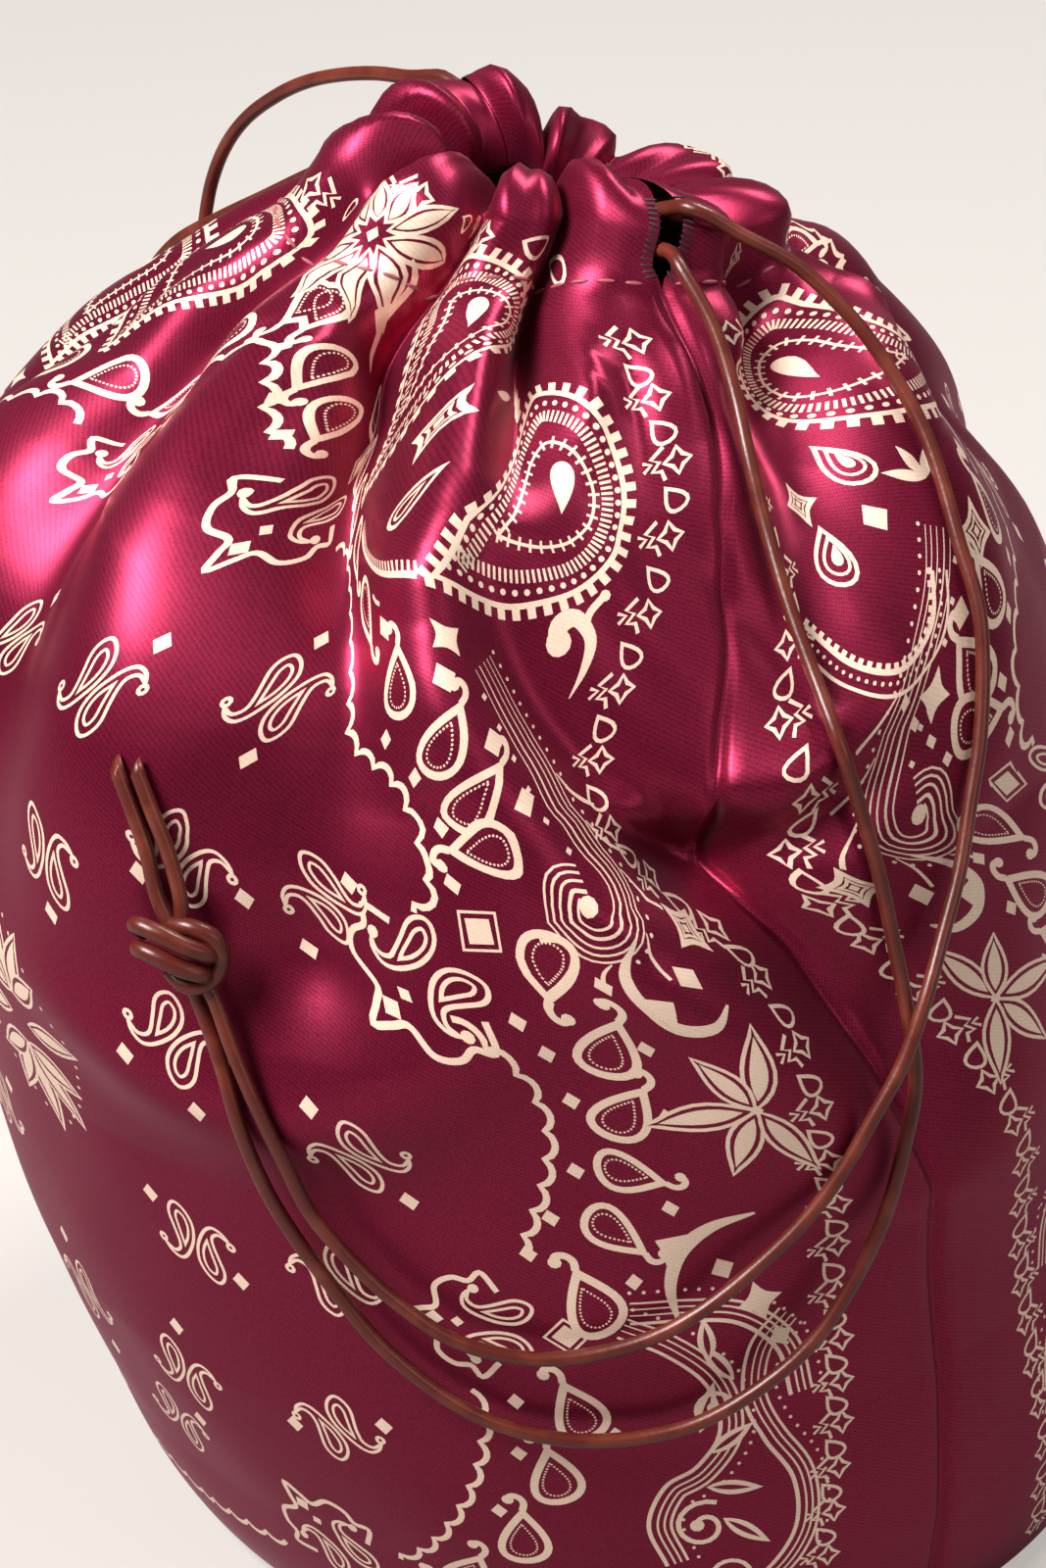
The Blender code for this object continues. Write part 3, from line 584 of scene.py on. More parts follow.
@dataclass
class Print:
    """The bandana print of one panel, as a painter's list of shapes in mm on the flat cloth."""

    mirrored: bool = True
    shapes: list[tuple[Points, Paint]] = field(default_factory=list)

    def add(self, outline: Points, paint: Paint = Paint.CREAM) -> None:
        """Paint a shape over what lies there, and its mirror image on the panel's other half."""
        self.shapes.append((outline, paint))
        if self.mirrored:
            self.shapes.append((outline[::-1] * (-1.0, 1.0), paint))

    def ring(self, outline: Points, line: float) -> None:
        """Paint an outline as a line of a width, with ground inside."""
        self.add(outline)
        self.add(inset(outline, line), Paint.GROUND)

    def stroke(self, path: Points, width: float, taper: tuple[float, float] = (1.0, 1.0)) -> None:
        """Paint a line.

        Args:
            path: The middle of the line.
            width: Its greatest width.
            taper: Shares of the width at its two ends.
        """
        share = np.linspace(0.0, 1.0, len(path))
        ends = taper[0] * (1 - share) ** 2 + taper[1] * share ** 2 + 2 * share * (1 - share)
        flat = min(taper) >= 1.0
        half = (width / 2 * (np.ones(len(path)) if flat else ends))[:, None]
        left = sides_of(path) * half
        self.add(np.vstack([path - left, (path + left)[::-1]]))

    def dots(self, path: Points, pitch: float, radius: float, sides: int = 6) -> None:
        """Paint dots along a path."""
        for centre in even_points(path, pitch):
            self.add(circle(radius, sides) + centre)

    def ticks(self, path: Points, pitch: float, length: float, width: float, lean: float = 0.0) -> None:
        """Paint short lines that stand on the left of a path.

        Args:
            path: The path.
            pitch: Distance between two lines.
            length: Their length; a negative one puts them on the right.
            width: Their width.
            lean: How far their tops lean along the path.
        """
        line = even_points(path, pitch)
        left = sides_of(line)
        along = np.stack([left[:, 1], -left[:, 0]], axis=1)
        for point, aside, ahead in zip(line, left, along):
            foot, top = ahead * width / 2, point + aside * length + ahead * lean
            outline = np.array([point - foot, point + foot, top + foot, top - foot])
            self.add(outline if length > 0 else outline[::-1])

    def scallops(self, path: Points, pitch: float, depth: float, width: float) -> None:
        """Paint a line of small arches that stand on the left of a path."""
        line = even_points(path, pitch / 6)
        phase = np.arange(len(line)) / 6.0
        arch = np.abs(np.sin(math.pi * phase)) ** 0.7
        self.stroke(line + sides_of(line) * (arch * depth)[:, None], width)

    def petal(self, pen: Pen, length: float, width: float, away: float = 0.0) -> None:
        """Paint a filled petal with a line round it, from a distance away from the pen's place."""
        self.ring(pen(lens(length, width) + (0.0, away)), 0.55)
        self.add(pen(lens(length * 0.74, width * 0.5) + (0.0, length * 0.12 + away)))

    def diamond(self, x: float, y: float, size: float = 1.5, turn: float = 0.0) -> None:
        """Paint a small filled diamond."""
        self.add(Pen(x, y, turn)(star(2, size, size * 0.9)))

    def framed_diamond(self, x: float, y: float, turn: float = 0.0, size: float = 1.0) -> None:
        """Paint a filled square in a square frame, standing on its corner."""
        pen = Pen(x, y, turn, size)
        self.ring(pen(star(2, 3.5, 3.2)), 0.5)
        self.add(pen(star(2, 2.2, 2.0)))

    def square_star(self, x: float, y: float, size: float, filled: bool, turn: float = 0.0) -> None:
        """Paint a four-pointed star with hollow sides, filled or as an outline with a square in it."""
        pen = Pen(x, y, turn)
        outline = np.vstack([smooth_curve(leg, 3)[:-1] for leg in self.star_legs(size)])
        if filled:
            self.add(pen(outline))
            return
        self.ring(pen(outline), 0.7)
        self.ring(pen(outline * 0.52), 0.35)
        self.add(pen(star(2, size * 0.17, size * 0.17)))

    @staticmethod
    def star_legs(size: float) -> list[Points]:
        """Hollow sides of a four-pointed star, each as three points."""
        tips = star(4, size, size * 0.52)
        return [np.array([tips[2 * k], tips[2 * k + 1], tips[(2 * k + 2) % 8]]) for k in range(4)]

    def border_diamond(self, x: float, y: float) -> None:
        """Paint the border's open four-pointed star with a zigzag line on its inner side."""
        self.ring(Pen(x + 0.9, y)(star(4, 2.1, 1.25)), 0.58)
        zigzag = np.array([(-0.3, 2.2), (-1.9, 0.9), (-0.9, 0.35), (-1.9, -0.75), (-0.8, -0.9), (-0.5, -2.2)])
        self.stroke(zigzag * (1.15, 1.0) + (x - 0.4, y), 0.55)
        self.stroke((zigzag[1:4] - (1.0, 0.0)) * (1.15, 0.8) + (x - 0.4, y), 0.45)

    def border_drop(self, x: float, y: float, turn: float = 20.0) -> None:
        """Paint the border's small open teardrop."""
        self.ring(Pen(x, y, turn)(drop(4.3, 3.5, -0.8, 16)), 0.5)

    def chain_drop(self, x: float, y: float, turn: float, size: float = 1.0, flip: bool = False) -> None:
        """Paint a large teardrop of the chain: a strong line, a dotted line inside and a hooked tail."""
        pen = Pen(x, y, turn, size, flip)
        self.ring(pen(drop(10.4, 8.2, 2.3, 30)), 1.1 * size)
        inner = pen(drop(5.8, 4.0, 1.2, 22) - (0.0, 0.7))
        self.dots(np.vstack([inner, inner[:1]]), 0.55, 0.19, 5)
        hook = smooth_curve([(2.1, 4.6), (2.7, 5.8), (2.5, 6.9), (1.6, 7.5), (0.7, 7.1)], 4)
        self.stroke(pen(hook), 1.0 * size, (1.0, 1.0))
        self.add(pen(circle(0.85, 9) + (0.8, 6.9)))

    def curled_drop(self, pen: Pen) -> None:
        """Paint an open paisley in a double line, whose long tail sweeps aside to a small loop."""
        outline = smooth_curve(CURLED_OUTLINE, 3)[:-1]
        self.ring(pen(outline), 0.5 * pen.size)
        self.ring(pen(smooth_curve(CURLED_INNER, 3)[:-1]), 0.42 * pen.size)
        self.add(pen(circle(0.8, 9) + (-6.5, -0.2)))
        self.add(pen(circle(0.28, 6) + (-6.5, -0.2)), Paint.GROUND)

    def drop_pair(self, x: float, y: float, turn: float, flip: bool = False, size: float = 1.0) -> None:
        """Paint two curled drops that meet as an S."""
        for half in (0.0, 180.0):
            self.curled_drop(Pen(x, y, turn + half, size, flip))

    def fan(self, x: float, y: float, turns: Line, lengths: Line, width: float, away: float = 0.0) -> None:
        """Paint a fan of petals round a place."""
        for turn, length in zip(turns, lengths):
            self.petal(Pen(x, y, turn), length, width, away)
        self.diamond(x, y, 1.0)

    def crest(self, x: float, y: float, turn: float, size: float = 1.0) -> None:
        """Paint a crest in its lobed frame: two curled drops, small diamonds and a framed square."""
        place = Pen(x, y, turn, size)
        frame_line = even_points(smooth_curve(CREST_FRAME, 5), 0.5)
        self.stroke(place(frame_line), 0.85 * size)
        for side in (-1.0, 1.0):
            pen = Pen(side * 0.5, 1.2, -side * 27.0, 1.0, side > 0)
            for outline, line in ((CURLED_OUTLINE, 0.55), (CURLED_INNER, 0.45)):
                self.ring(place(pen(smooth_curve(outline, 3)[:-1])), line * size)
            self.add(place(pen(circle(0.8, 9) + (-6.5, -0.2))))
        self.add(place(star(2, 0.95, 0.9) + (0.0, -4.3)))
        self.add(place(star(2, 1.4, 1.3) + (0.0, -7.6)))
        at = place(np.array([(0.0, 11.0)]))[0]
        self.framed_diamond(at[0], at[1], turn + 10.0, size)

    def blade(self, path: Line, width: float, spur: float) -> None:
        """Paint a curved blade with fine tips and a spur on its back.

        Args:
            path: Points along its middle, from tip to tip.
            width: Its greatest width.
            spur: Length of the spur at its middle.
        """
        line = smooth_curve(path, 5)
        self.stroke(line, width, (0.1, 0.1))
        at = len(line) // 2
        side = sides_of(line)[at]
        ahead = line[at + 2] - line[at - 2]
        foot = ahead / np.linalg.norm(ahead) * spur * 0.9
        tip = line[at] + side * spur
        self.add(np.array([line[at] - foot, line[at] + foot, tip]))

    def spiral(self, x: float, y: float, radius: float, turn: float, turns: float, width: float) -> None:
        """Paint a line that winds in to a dot; negative turns wind clockwise."""
        share = np.linspace(0.0, 1.0, int(abs(turns) * 16) + 4)
        angle = math.radians(turn) + 2 * math.pi * turns * share
        size = radius * (1.0 - 0.8 * share)
        path = np.stack([x + np.cos(angle) * size, y + np.sin(angle) * size], axis=1)
        self.stroke(path, width)
        self.add(circle(radius * 0.24, 9) + path[-1])


@dataclass
class BandanaDesign:
    """Lays out the traditional bandana motifs of a panel, as the photograph shows them."""

    border_diamonds: Line = (
        (123.5, 212), (122.9, 203.5), (124.1, 194.5), (122.4, 185), (117.9, 175.5), (114.0, 166.5),
        (112.7, 157.5),
        (113.2, 148), (117.6, 140.5), (121.7, 133), (121.2, 126), (119.4, 117), (117.6, 108.5), (116.1, 100),
        (115.2, 92), (114.4, 84), (114.0, 76), (113.7, 68), (113.0, 61), (112.3, 54), (111.4, 46.5),
        (110.3, 39),
        (109.2, 31), (108.4, 23), (108.0, 15),
    )
    border_drops: Line = (
        (122.6, 207.6), (123.6, 199), (124.3, 189.8), (120.7, 180.2), (115.9, 171), (113.4, 162),
        (112.9, 152.6),
        (115.0, 144.4), (120.0, 136.8), (122.2, 129.5), (120.9, 121.4), (118.3, 112.6), (116.9, 104.3),
        (115.6, 96), (114.8, 88), (114.3, 80), (113.9, 72), (113.3, 64.5), (112.6, 57.5), (111.8, 50.2),
        (110.8, 42.8), (109.6, 35), (108.8, 27), (108.2, 19),
    )
    casing_row: Line = ((3.0, 231.5), (13, 229.5), (24, 229), (48, 227.5), (57, 227), (66, 226), (84, 225),
                        (117, 223.5))
    chain: Line = (
        (1.5, 213.5, 205, 0.9), (9.3, 206, 215, 0.9), (17.5, 201.5, 225, 0.9), (27.0, 207.5, 240, 1),
        (38.0, 200.0, 235, 1),
        (48.5, 194.0, 215, 1), (60.0, 188.0, 220, 1), (69.5, 178.5, 215, 1), (77.2, 168.6, 0, 0.95),
        (84.8, 161.4, -8, 0.95),
        (90.2, 154.6, -20, 1.0), (91.2, 147.2, 110, 1.0), (94.6, 132.6, 165, 1.05), (94.6, 121.6, -20, 1.05),
        (92.6, 111.6, -30, 1.0), (91.0, 102.2, -100, 0.9), (86.2, 93.0, -128, 0.92), (79.6, 81.6, 32, 1.1),
        (75.0, 63.5, 30, 1.05), (70.0, 52.0, 20, 1.05), (63.8, 40.2, 10, 1.05), (54.0, 31.5, -15, 1),
        (43.0, 25.0, -30, 1),
    )
    ogee: tuple[Line, ...] = (
        ((0, 205.5), (6.4, 201.0), (12.5, 196.6), (18.7, 194.0)),
        ((41.4, 187.0), (47.5, 186.4), (54.5, 180.5), (58.5, 173.5), (62.0, 165.5), (66.4, 159.8),
         (75.4, 156.0),
         (80.3, 151.6), (81.4, 146.8), (80.6, 142.2), (77.5, 140.0)),
        ((76.8, 126.2), (80.8, 120.4), (82.2, 115.0), (81.8, 108.0), (78.8, 101.0), (75.0, 95.0),
         (72.1, 90.4)),
        ((61.8, 67.2), (61.9, 60.2), (57.1, 47.5), (49.4, 36.5), (43.0, 31.5)),
        ((20.0, 24.0), (10.0, 23.0), (0, 22.0)),
    )
    crests: Line = ((29.6, 189.2, -4, 0.98), (76.0, 131.0, -58, 1.12), (66.0, 78.0, -98, 0.95),
                    (31.8, 30.0, -150, 1.0))
    chain_diamonds: Line = (
        (2.6, 205.9), (10.5, 199.4), (16.4, 195.8), (74.2, 161.2), (80.6, 156.6), (85.2, 150.4),
        (84.8, 143.4), (85.2, 125.8),
        (86.8, 121.0), (86.9, 113.6), (84.0, 102.8), (78.2, 95.6), (73.3, 90.0), (100.1, 130.6),
        (99.9, 121.0), (98.2, 110.0),
        (94.0, 95.6), (86.4, 84.6), (67.6, 65.6), (66.4, 56.4), (61.8, 45.2), (80.4, 59.2),
    )
    squares: Line = ((76.5, 175.4), (85.3, 168.6), (92.6, 160.8), (98.0, 153.4), (111.2, 130.2), (98.6, 84.4),
                     (105.6, 71.4))
    pairs: Line = (
        (51.0, 165.0, 15, 0), (27.0, 161.0, 10, 0), (45.3, 143.0, -20, 0), (63.9, 139.0, 20, 1),
        (35.0, 118.0, -20, 0),
        (56.7, 105.0, 10, 1), (24.0, 82.0, 12, 0), (13.0, 55.0, 5, 0), (39.9, 56.0, 0, 1),
        (22.0, 138.5, 10, 0), (46.0, 83.0, 0, 1),
    )
    pair_diamonds: Line = (
        (50.3, 173.4), (52.7, 156.8), (31.5, 168.0), (52.2, 138.4), (38.6, 140.6), (68.2, 141.6),
        (57.9, 131.0),
        (26.8, 114.6), (35.6, 108.6), (52.4, 112.4), (60.4, 97.6), (17.4, 87.4), (30.4, 78.0), (14.5, 64.0),
        (11.4, 45.2),
        (32.6, 54.4), (47.6, 58.6), (20.4, 131.0),
    )

    def pattern(self, front: bool) -> Print:
        """The whole print of a panel.

        Args:
            front: True for the front panel, False for the back panel.

        Returns:
            The print, with its mirror half.
        """
        work = Print()
        self.border(work, front)
        self.field_frame(work)
        self.chain_row(work)
        self.centre_field(work)
        if front:
            self.big_paisleys(work)
        else:
            self.back_paisleys(work)
        self.shell(work)
        self.acanthus(work, 92.0, 52.0)
        self.loose_motifs(work)
        if front:
            self.comma(work)
        return work

    def border(self, work: Print, front: bool) -> None:
        """Border of diamonds and teardrops beside the seam and under the casing."""
        for line, paint in ((self.border_diamonds, work.border_diamond),
                            (self.border_drops, work.border_drop)):
            for x, y in line:
                aside = 0.0 if front else 9.5 * math.exp(-((y - 158.0) / 13.0) ** 2)
                paint(x + aside, y)
        for k, (x, y) in enumerate(self.casing_row):
            if k % 2:
                work.border_drop(x, y, 60.0)
            else:
                work.border_diamond(x, y)

    def field_frame(self, work: Print) -> None:
        """Scalloped ogee line round the centre field, with crests in its points."""
        for path in self.ogee:
            work.scallops(smooth_curve(path, 6), 4.6, 1.2, 0.9)
        for x, y, turn, size in self.crests:
            work.crest(x, y, turn, size)

    def chain_row(self, work: Print) -> None:
        """Chain of large teardrops outside the ogee line, with its diamonds and squares."""
        for x, y, turn, size in self.chain:
            work.chain_drop(x, y, turn, size)
        for x, y in self.chain_diamonds:
            work.diamond(x, y, 1.35)
        for x, y in self.squares:
            work.diamond(x, y, 1.9, 20.0)

    def centre_field(self, work: Print) -> None:
        """Scattered pairs of curled drops with their diamonds, and the fan in the middle."""
        for x, y, turn, flip in self.pairs:
            work.drop_pair(x, y, turn, bool(flip))
        for x, y in self.pair_diamonds:
            work.diamond(x, y, 1.5)
        work.mirrored = False
        work.drop_pair(-7.8, 160.0, 10.0)
        work.diamond(-5.0, 167.5, 1.5)
        work.drop_pair(4.0, 41.0, 0.0)
        work.mirrored = True
        for turn, length in ((0.0, 15.0), (-32.0, 13.5), (-62.0, 11.0)):
            work.petal(Pen(0.0, 112.0, turn), length, 4.8)
            work.petal(Pen(0.0, 104.0, 180.0 - turn), length, 4.8)
        work.petal(Pen(2.0, 108.0, -90.0), 12.0, 4.2)
        work.dots(even_points(np.array([(3.0, 92.0), (9.0, 98.0), (13.0, 108.0), (9.0, 118.0), (3.0, 124.0)]),
                              2.4), 2.4, 0.32)

    def big_paisleys(self, work: Print) -> None:
        """Large paisleys beside the border: crenellated, dotted and combed outlines round a drop."""
        self.big_paisley(work, Pen(108.6, 192.6, 0.0, 0.98))
        self.big_paisley(work, Pen(62.6, 214.6, 40.0, 0.84))
        comb = smooth_curve([(86.0, 181.0), (79.0, 182.5), (72.0, 186.0), (64.0, 190.5)], 6)
        work.stroke(comb, 0.9)
        work.ticks(comb, 0.95, -1.8, 0.42)
        work.square_star(77.1, 199.6, 4.3, False, 12.0)
        pen = Pen(83.6, 191.2, -25.0)
        work.ring(pen(drop(7.4, 5.0, 1.4)), 0.6)
        work.ring(pen(drop(4.2, 2.3, 0.6, 14) - (0.0, 0.6)), 0.4)
        work.square_star(86.9, 173.6, 2.6, True, 30.0)
        work.stroke(np.array([(73.6, 180.2), (74.8, 179.2), (76.2, 178.7)]), 0.7)
        work.add(Pen(79.2, 204.4, -60.0)(lens(5.2, 2.2)))
        work.add(Pen(91.0, 206.0, -20.0)(lens(5.2, 2.4)))
        for turn, length in ((-75.0, 5.0), (-45.0, 5.6), (-15.0, 6.2), (15.0, 5.6), (45.0, 5.0)):
            work.petal(Pen(95.6, 204.0, turn), length, 2.6)

    def big_paisley(self, work: Print, pen: Pen) -> None:
        """Paint one large paisley: crenels, dots, a comb and a barbed line round a drop."""
        outline = smooth_curve(PAISLEY_OUTLINE, 6)
        head = np.array([0.6, -0.6])

        def line(share: float) -> Points:
            return pen(head + (outline - head) * share)

        unit = pen.size
        outer = line(1.0)
        work.add(outer[::-1][:-1])
        work.add(inset(outer[::-1][:-1], 0.75 * unit), Paint.GROUND)
        work.ticks(outer, 2.2 * unit, 1.35 * unit, 1.15 * unit)
        work.dots(line(0.86), 1.7 * unit, 0.42 * unit, 8)
        comb = line(0.78)
        work.ticks(comb, 0.8 * unit, -1.6 * unit, 0.36 * unit)
        work.stroke(line(0.47), 0.42 * unit)
        work.ticks(line(0.47), 1.5 * unit, 0.8 * unit, 0.34 * unit)
        work.ticks(line(0.47), 1.5 * unit, -0.8 * unit, 0.34 * unit)
        seed = Pen(0.8, 0.4, 175.0)(drop(7.0, 3.2, 0.8))
        work.add(pen(seed))

    def back_paisleys(self, work: Print) -> None:
        """Upper motifs of the back panel, which its side of the photograph shows."""
        self.big_paisley(work, Pen(82.0, 202.0, 20.0, 1.15))
        sweep = smooth_curve([(117.5, 168.0), (112.0, 161.5), (105.0, 158.4), (98.5, 161.0), (96.0, 167.0)],
                             8)
        for shift, width in ((0.0, 0.7), (2.6, 0.45)):
            work.stroke(sweep + sides_of(sweep) * shift, width)
        work.ticks(sweep, 1.4, -1.0, 0.75)
        work.dots(sweep + sides_of(sweep) * 1.3, 1.2, 0.28)
        for x, y, turn in ((95.5, 184.6, 20.0), (107.6, 174.4, 40.0)):
            pen = Pen(x, y, turn)
            work.ring(pen(drop(9.0, 6.2, 2.0)), 0.6)
            work.ring(pen(drop(6.0, 3.8, 1.2)), 0.42)
            work.add(pen(drop(3.2, 1.6, 0.5, 14)))
        work.diamond(99.6, 176.2, 2.2)
        for turn in (-50.0, 0.0, 50.0):
            work.add(Pen(89.6, 176.5, turn)(lens(6.0, 1.7)))
        work.square_star(85.3, 167.6, 4.2, False, 20.0)
        work.square_star(106.6, 183.0, 3.8, False, 10.0)
        work.square_star(98.2, 153.6, 3.1, True, 15.0)
        for x, y in ((104.0, 154.5), (101.8, 151.6), (99.6, 148.6), (97.4, 145.6)):
            work.diamond(x, y, 1.0)

    def shell(self, work: Print) -> None:
        """Feathered shell below the chain's upper end, with flowing lines that run down to it."""
        flow = smooth_curve([(91.5, 170.5), (95.5, 164.0), (100.5, 157.0), (105.0, 149.5), (107.5, 143.0),
                             (105.6, 137.8),
                             (101.8, 137.0), (99.6, 139.6), (100.6, 142.4), (102.6, 142.2)], 6)
        for shift, width in ((0.0, 0.5), (1.2, 0.34), (2.2, 0.34), (3.1, 0.3), (-1.1, 0.34)):
            work.stroke(flow + sides_of(flow) * shift, width, (0.4, 1.0))
        work.add(circle(1.25, 10) + (102.2, 140.6))
        work.dots(flow[:34] + sides_of(flow[:34]) * 4.2, 2.0, 0.3)
        for k in range(6):
            at = 14 + 5 * k
            root, side = flow[at], sides_of(flow)[at]
            tip = root + side * (6.5 - 0.5 * k) + (flow[at] - flow[at - 6]) * 0.9
            middle = (root + tip) / 2 + side * 1.2
            work.stroke(smooth_curve([root + side * 3.4, middle, tip], 5), 0.55, (0.3, 1.0))

    def acanthus(self, work: Print, x: float, y: float) -> None:
        """Large acanthus scroll: nested sweeping lines, a spiral and fringed leaves."""
        sweeps = (
            ((-9, 24), (-3, 20), (2, 14), (3, 6), (-1, 0), (-6, -3), (-9, -10), (-7, -18)),
            ((14, 24), (9, 19), (7, 11), (9, 3), (13, -5), (13, -14), (8, -21), (0, -26)),
            ((-7, 26), (1, 25), (8, 23), (13, 17), (14, 9)),
        )
        for path in sweeps:
            line = smooth_curve([(x + dx, y + dy) for dx, dy in path], 7)
            for shift, width in ((0.0, 0.8), (1.3, 0.4), (2.3, 0.4), (3.3, 0.55)):
                work.stroke(line + sides_of(line) * shift, width, (0.5, 0.8))
            work.dots(line + sides_of(line) * 5.0, 1.9, 0.3)
        for dx, dy, turn, length in ((0, 6, -20, 9), (1, 2, -60, 8), (0, -4, -100, 8.5), (2, -10, -130, 9),
                                     (6, 14, 30, 8),
                                     (3, 18, 0, 7)):
            pen = Pen(x + dx, y + dy, turn)
            work.add(pen(lens(length, 2.6)))
            work.add(pen(lens(length * 0.7, 0.9) + (0.0, length * 0.1)), Paint.GROUND)
        work.spiral(x - 1.0, y - 11.0, 4.6, 60.0, 1.3, 0.8)
        work.spiral(x + 3.0, y + 10.0, 3.4, 240.0, -1.2, 0.7)
        work.spiral(x + 2.0, y - 21.0, 3.6, 0.0, 1.2, 0.7)

    def loose_motifs(self, work: Print) -> None:
        """Fans, blades and stars between the chain and the border."""
        work.fan(110.0, 110.5, (-22.0, 30.0, 96.0, 150.0, 205.0), (13.0, 10.5, 15.5, 12.5, 13.0), 4.7)
        work.fan(0.0, 226.0, (22.0, 62.0, 98.0, 130.0, 161.0), (6.0, 9.5, 12.0, 12.5, 11.5), 3.7, 1.6)
        work.blade([(113.4, 125.6), (110.0, 123.4), (105.4, 124.2), (103.2, 128.0), (104.0, 132.0),
                    (107.0, 136.0)], 3.6, -3.6)
        work.blade([(91.6, 77.0), (91.2, 83.0), (93.2, 88.4), (98.0, 91.6), (104.6, 93.0)], 3.8, 3.8)
        work.blade([(13.4, 212.0), (10.4, 214.6), (9.4, 218.0), (9.2, 221.0), (6.6, 224.0)], 2.6, 2.4)
        work.square_star(117.0, 134.6, 3.6, False, 20.0)
        work.square_star(103.2, 78.0, 3.4, True, 10.0)
        work.dots(np.array([(91.5, 166.5), (95.4, 160.0), (99.2, 153.6), (103.2, 147.0)]), 5.0, 0.55, 4)

    def comma(self, work: Print) -> None:
        """Paint the comma and its small curl beside the upper paisley."""
        comma = smooth_curve([(105.4, 172.6), (105.8, 175.6), (108.2, 176.4), (110.0, 173.6), (109.2, 170.0),
                              (107.4, 166.4)], 5)
        work.stroke(comma, 2.8, (0.9, 0.05))
        work.add(circle(1.75, 12) + (105.6, 173.6))
        work.stroke(smooth_curve([(109.6, 173.8), (110.0, 176.6), (112.6, 178.9)], 5), 1.0)
        work.add(circle(0.75, 9) + (112.6, 178.8))


@dataclass
class PrintedPanel:
    """One cloth panel with its print, its turned rim and the casing's lining."""

    name: str
    chart: ClothMap
    design: Print
    across: float = 1.9
    along: float = 1.6
    seam_columns: tuple[float, ...] = (0.6, 1.2, 2.0)
    merge_within: float = 1e-4
    uv_width: float = 300.0

    def grid(self) -> Points:
        """Places of the cloth's own points, with close columns beside the seams."""
        top, half = self.chart.top, self.chart.width / 2
        columns, rows = int(round(self.chart.width / self.across)), int(round(top / self.along))
        seams = half - np.array(self.seam_columns)
        places = []
        for line in (np.linspace(-half, half, columns + 1), np.concatenate([seams, -seams])):
            v, x = np.meshgrid(np.linspace(0.0, top, rows + 1), line, indexing="ij")
            places.append(np.stack([x.ravel(), v.ravel()], axis=1))
        return np.vstack(places)

    def triangles(self) -> tuple[Points, Points]:
        """Triangulate the panel so the print's outlines are edges of its mesh.

        Returns:
            The flat points and the triangles.
        """
        points = [self.grid()]
        count = len(points[0])
        edges: list[tuple[int, int]] = []
        for outline, _paint in self.design.shapes:
            size = len(outline)
            edges += [(count + k, count + (k + 1) % size) for k in range(size)]
            points.append(outline)
            count += size
        flat = np.vstack(points)
        made = delaunay_2d_cdt([Vector(p) for p in flat.tolist()], edges, [], 0, self.merge_within, False)
        faces = [face for face in made[2] if len(face) == 3]
        return np.array([tuple(p) for p in made[0]]), np.array(faces)

    def painted(self, centres: Points) -> Points:
        """Which places lie on cream print.

        Args:
            centres: Flat places.

        Returns:
            True where the uppermost shape is cream.
        """
        cream = np.zeros(len(centres), dtype=bool)
        order = np.argsort(centres[:, 1])
        height = centres[order, 1]
        for outline, paint in self.design.shapes:
            low, high = outline.min(axis=0), outline.max(axis=0)
            near = order[np.searchsorted(height, low[1]):np.searchsorted(height, high[1])]
            near = near[(centres[near, 0] > low[0]) & (centres[near, 0] < high[0])]
            if len(near):
                cream[near[winding(outline, centres[near]) > 0]] = paint is Paint.CREAM
        return cream

    def build(self, ground: bpy.types.Material, cream: bpy.types.Material) -> bpy.types.Object:
        """Make the panel.

        Args:
            ground: Material of the plain satin.
            cream: Material of the printed satin.

        Returns:
            The object.
        """
        flat, faces = self.triangles()
        half, top = self.chart.width / 2, self.chart.top
        centres = flat[faces].mean(axis=1)
        inside = (np.abs(centres[:, 0]) < half) & (centres[:, 1] > 0.0) & (centres[:, 1] < top)
        faces, centres = faces[inside], centres[inside]
        used, faces = np.unique(faces, return_inverse=True)
        faces, flat = faces.reshape(-1, 3), flat[used]
        cream_faces = self.painted(centres)
        place, normal = self.chart.place(flat[:, 0], flat[:, 1])
        mesh = bpy.data.meshes.new(self.name)
        mesh.from_pydata(place.tolist(), [], faces.tolist())
        panel = link_object(self.name, mesh, ground, cream)
        mesh.polygons.foreach_set("material_index", cream_faces.astype(np.int32))
        uv = mesh.uv_layers.new(name="Cloth")
        loops = flat[faces.ravel()] / self.uv_width + 0.5
        uv.data.foreach_set("uv", loops.astype(np.float32).ravel())
        mesh.shade_smooth()
        mesh.normals_split_custom_set_from_vertices(normal.tolist())
        LOG.info("%s: %d triangles, %d of them printed", self.name, len(faces), int(cream_faces.sum()))
        return panel


def winding(outline: Points, places: Points) -> Points:
    """How often an outline winds round each place, counter-clockwise.

    Args:
        outline: The closed outline.
        places: The places.

    Returns:
        The winding numbers.
    """
    a, b = outline, np.roll(outline, -1, axis=0)
    x, y = places[:, :1], places[:, 1:]
    left = (b[:, 0] - a[:, 0]) * (y - a[:, 1]) - (x - a[:, 0]) * (b[:, 1] - a[:, 1])
    up = (a[:, 1] <= y) & (b[:, 1] > y) & (left > 0)
    down = (a[:, 1] > y) & (b[:, 1] <= y) & (left < 0)
    return up.sum(axis=1) - down.sum(axis=1)


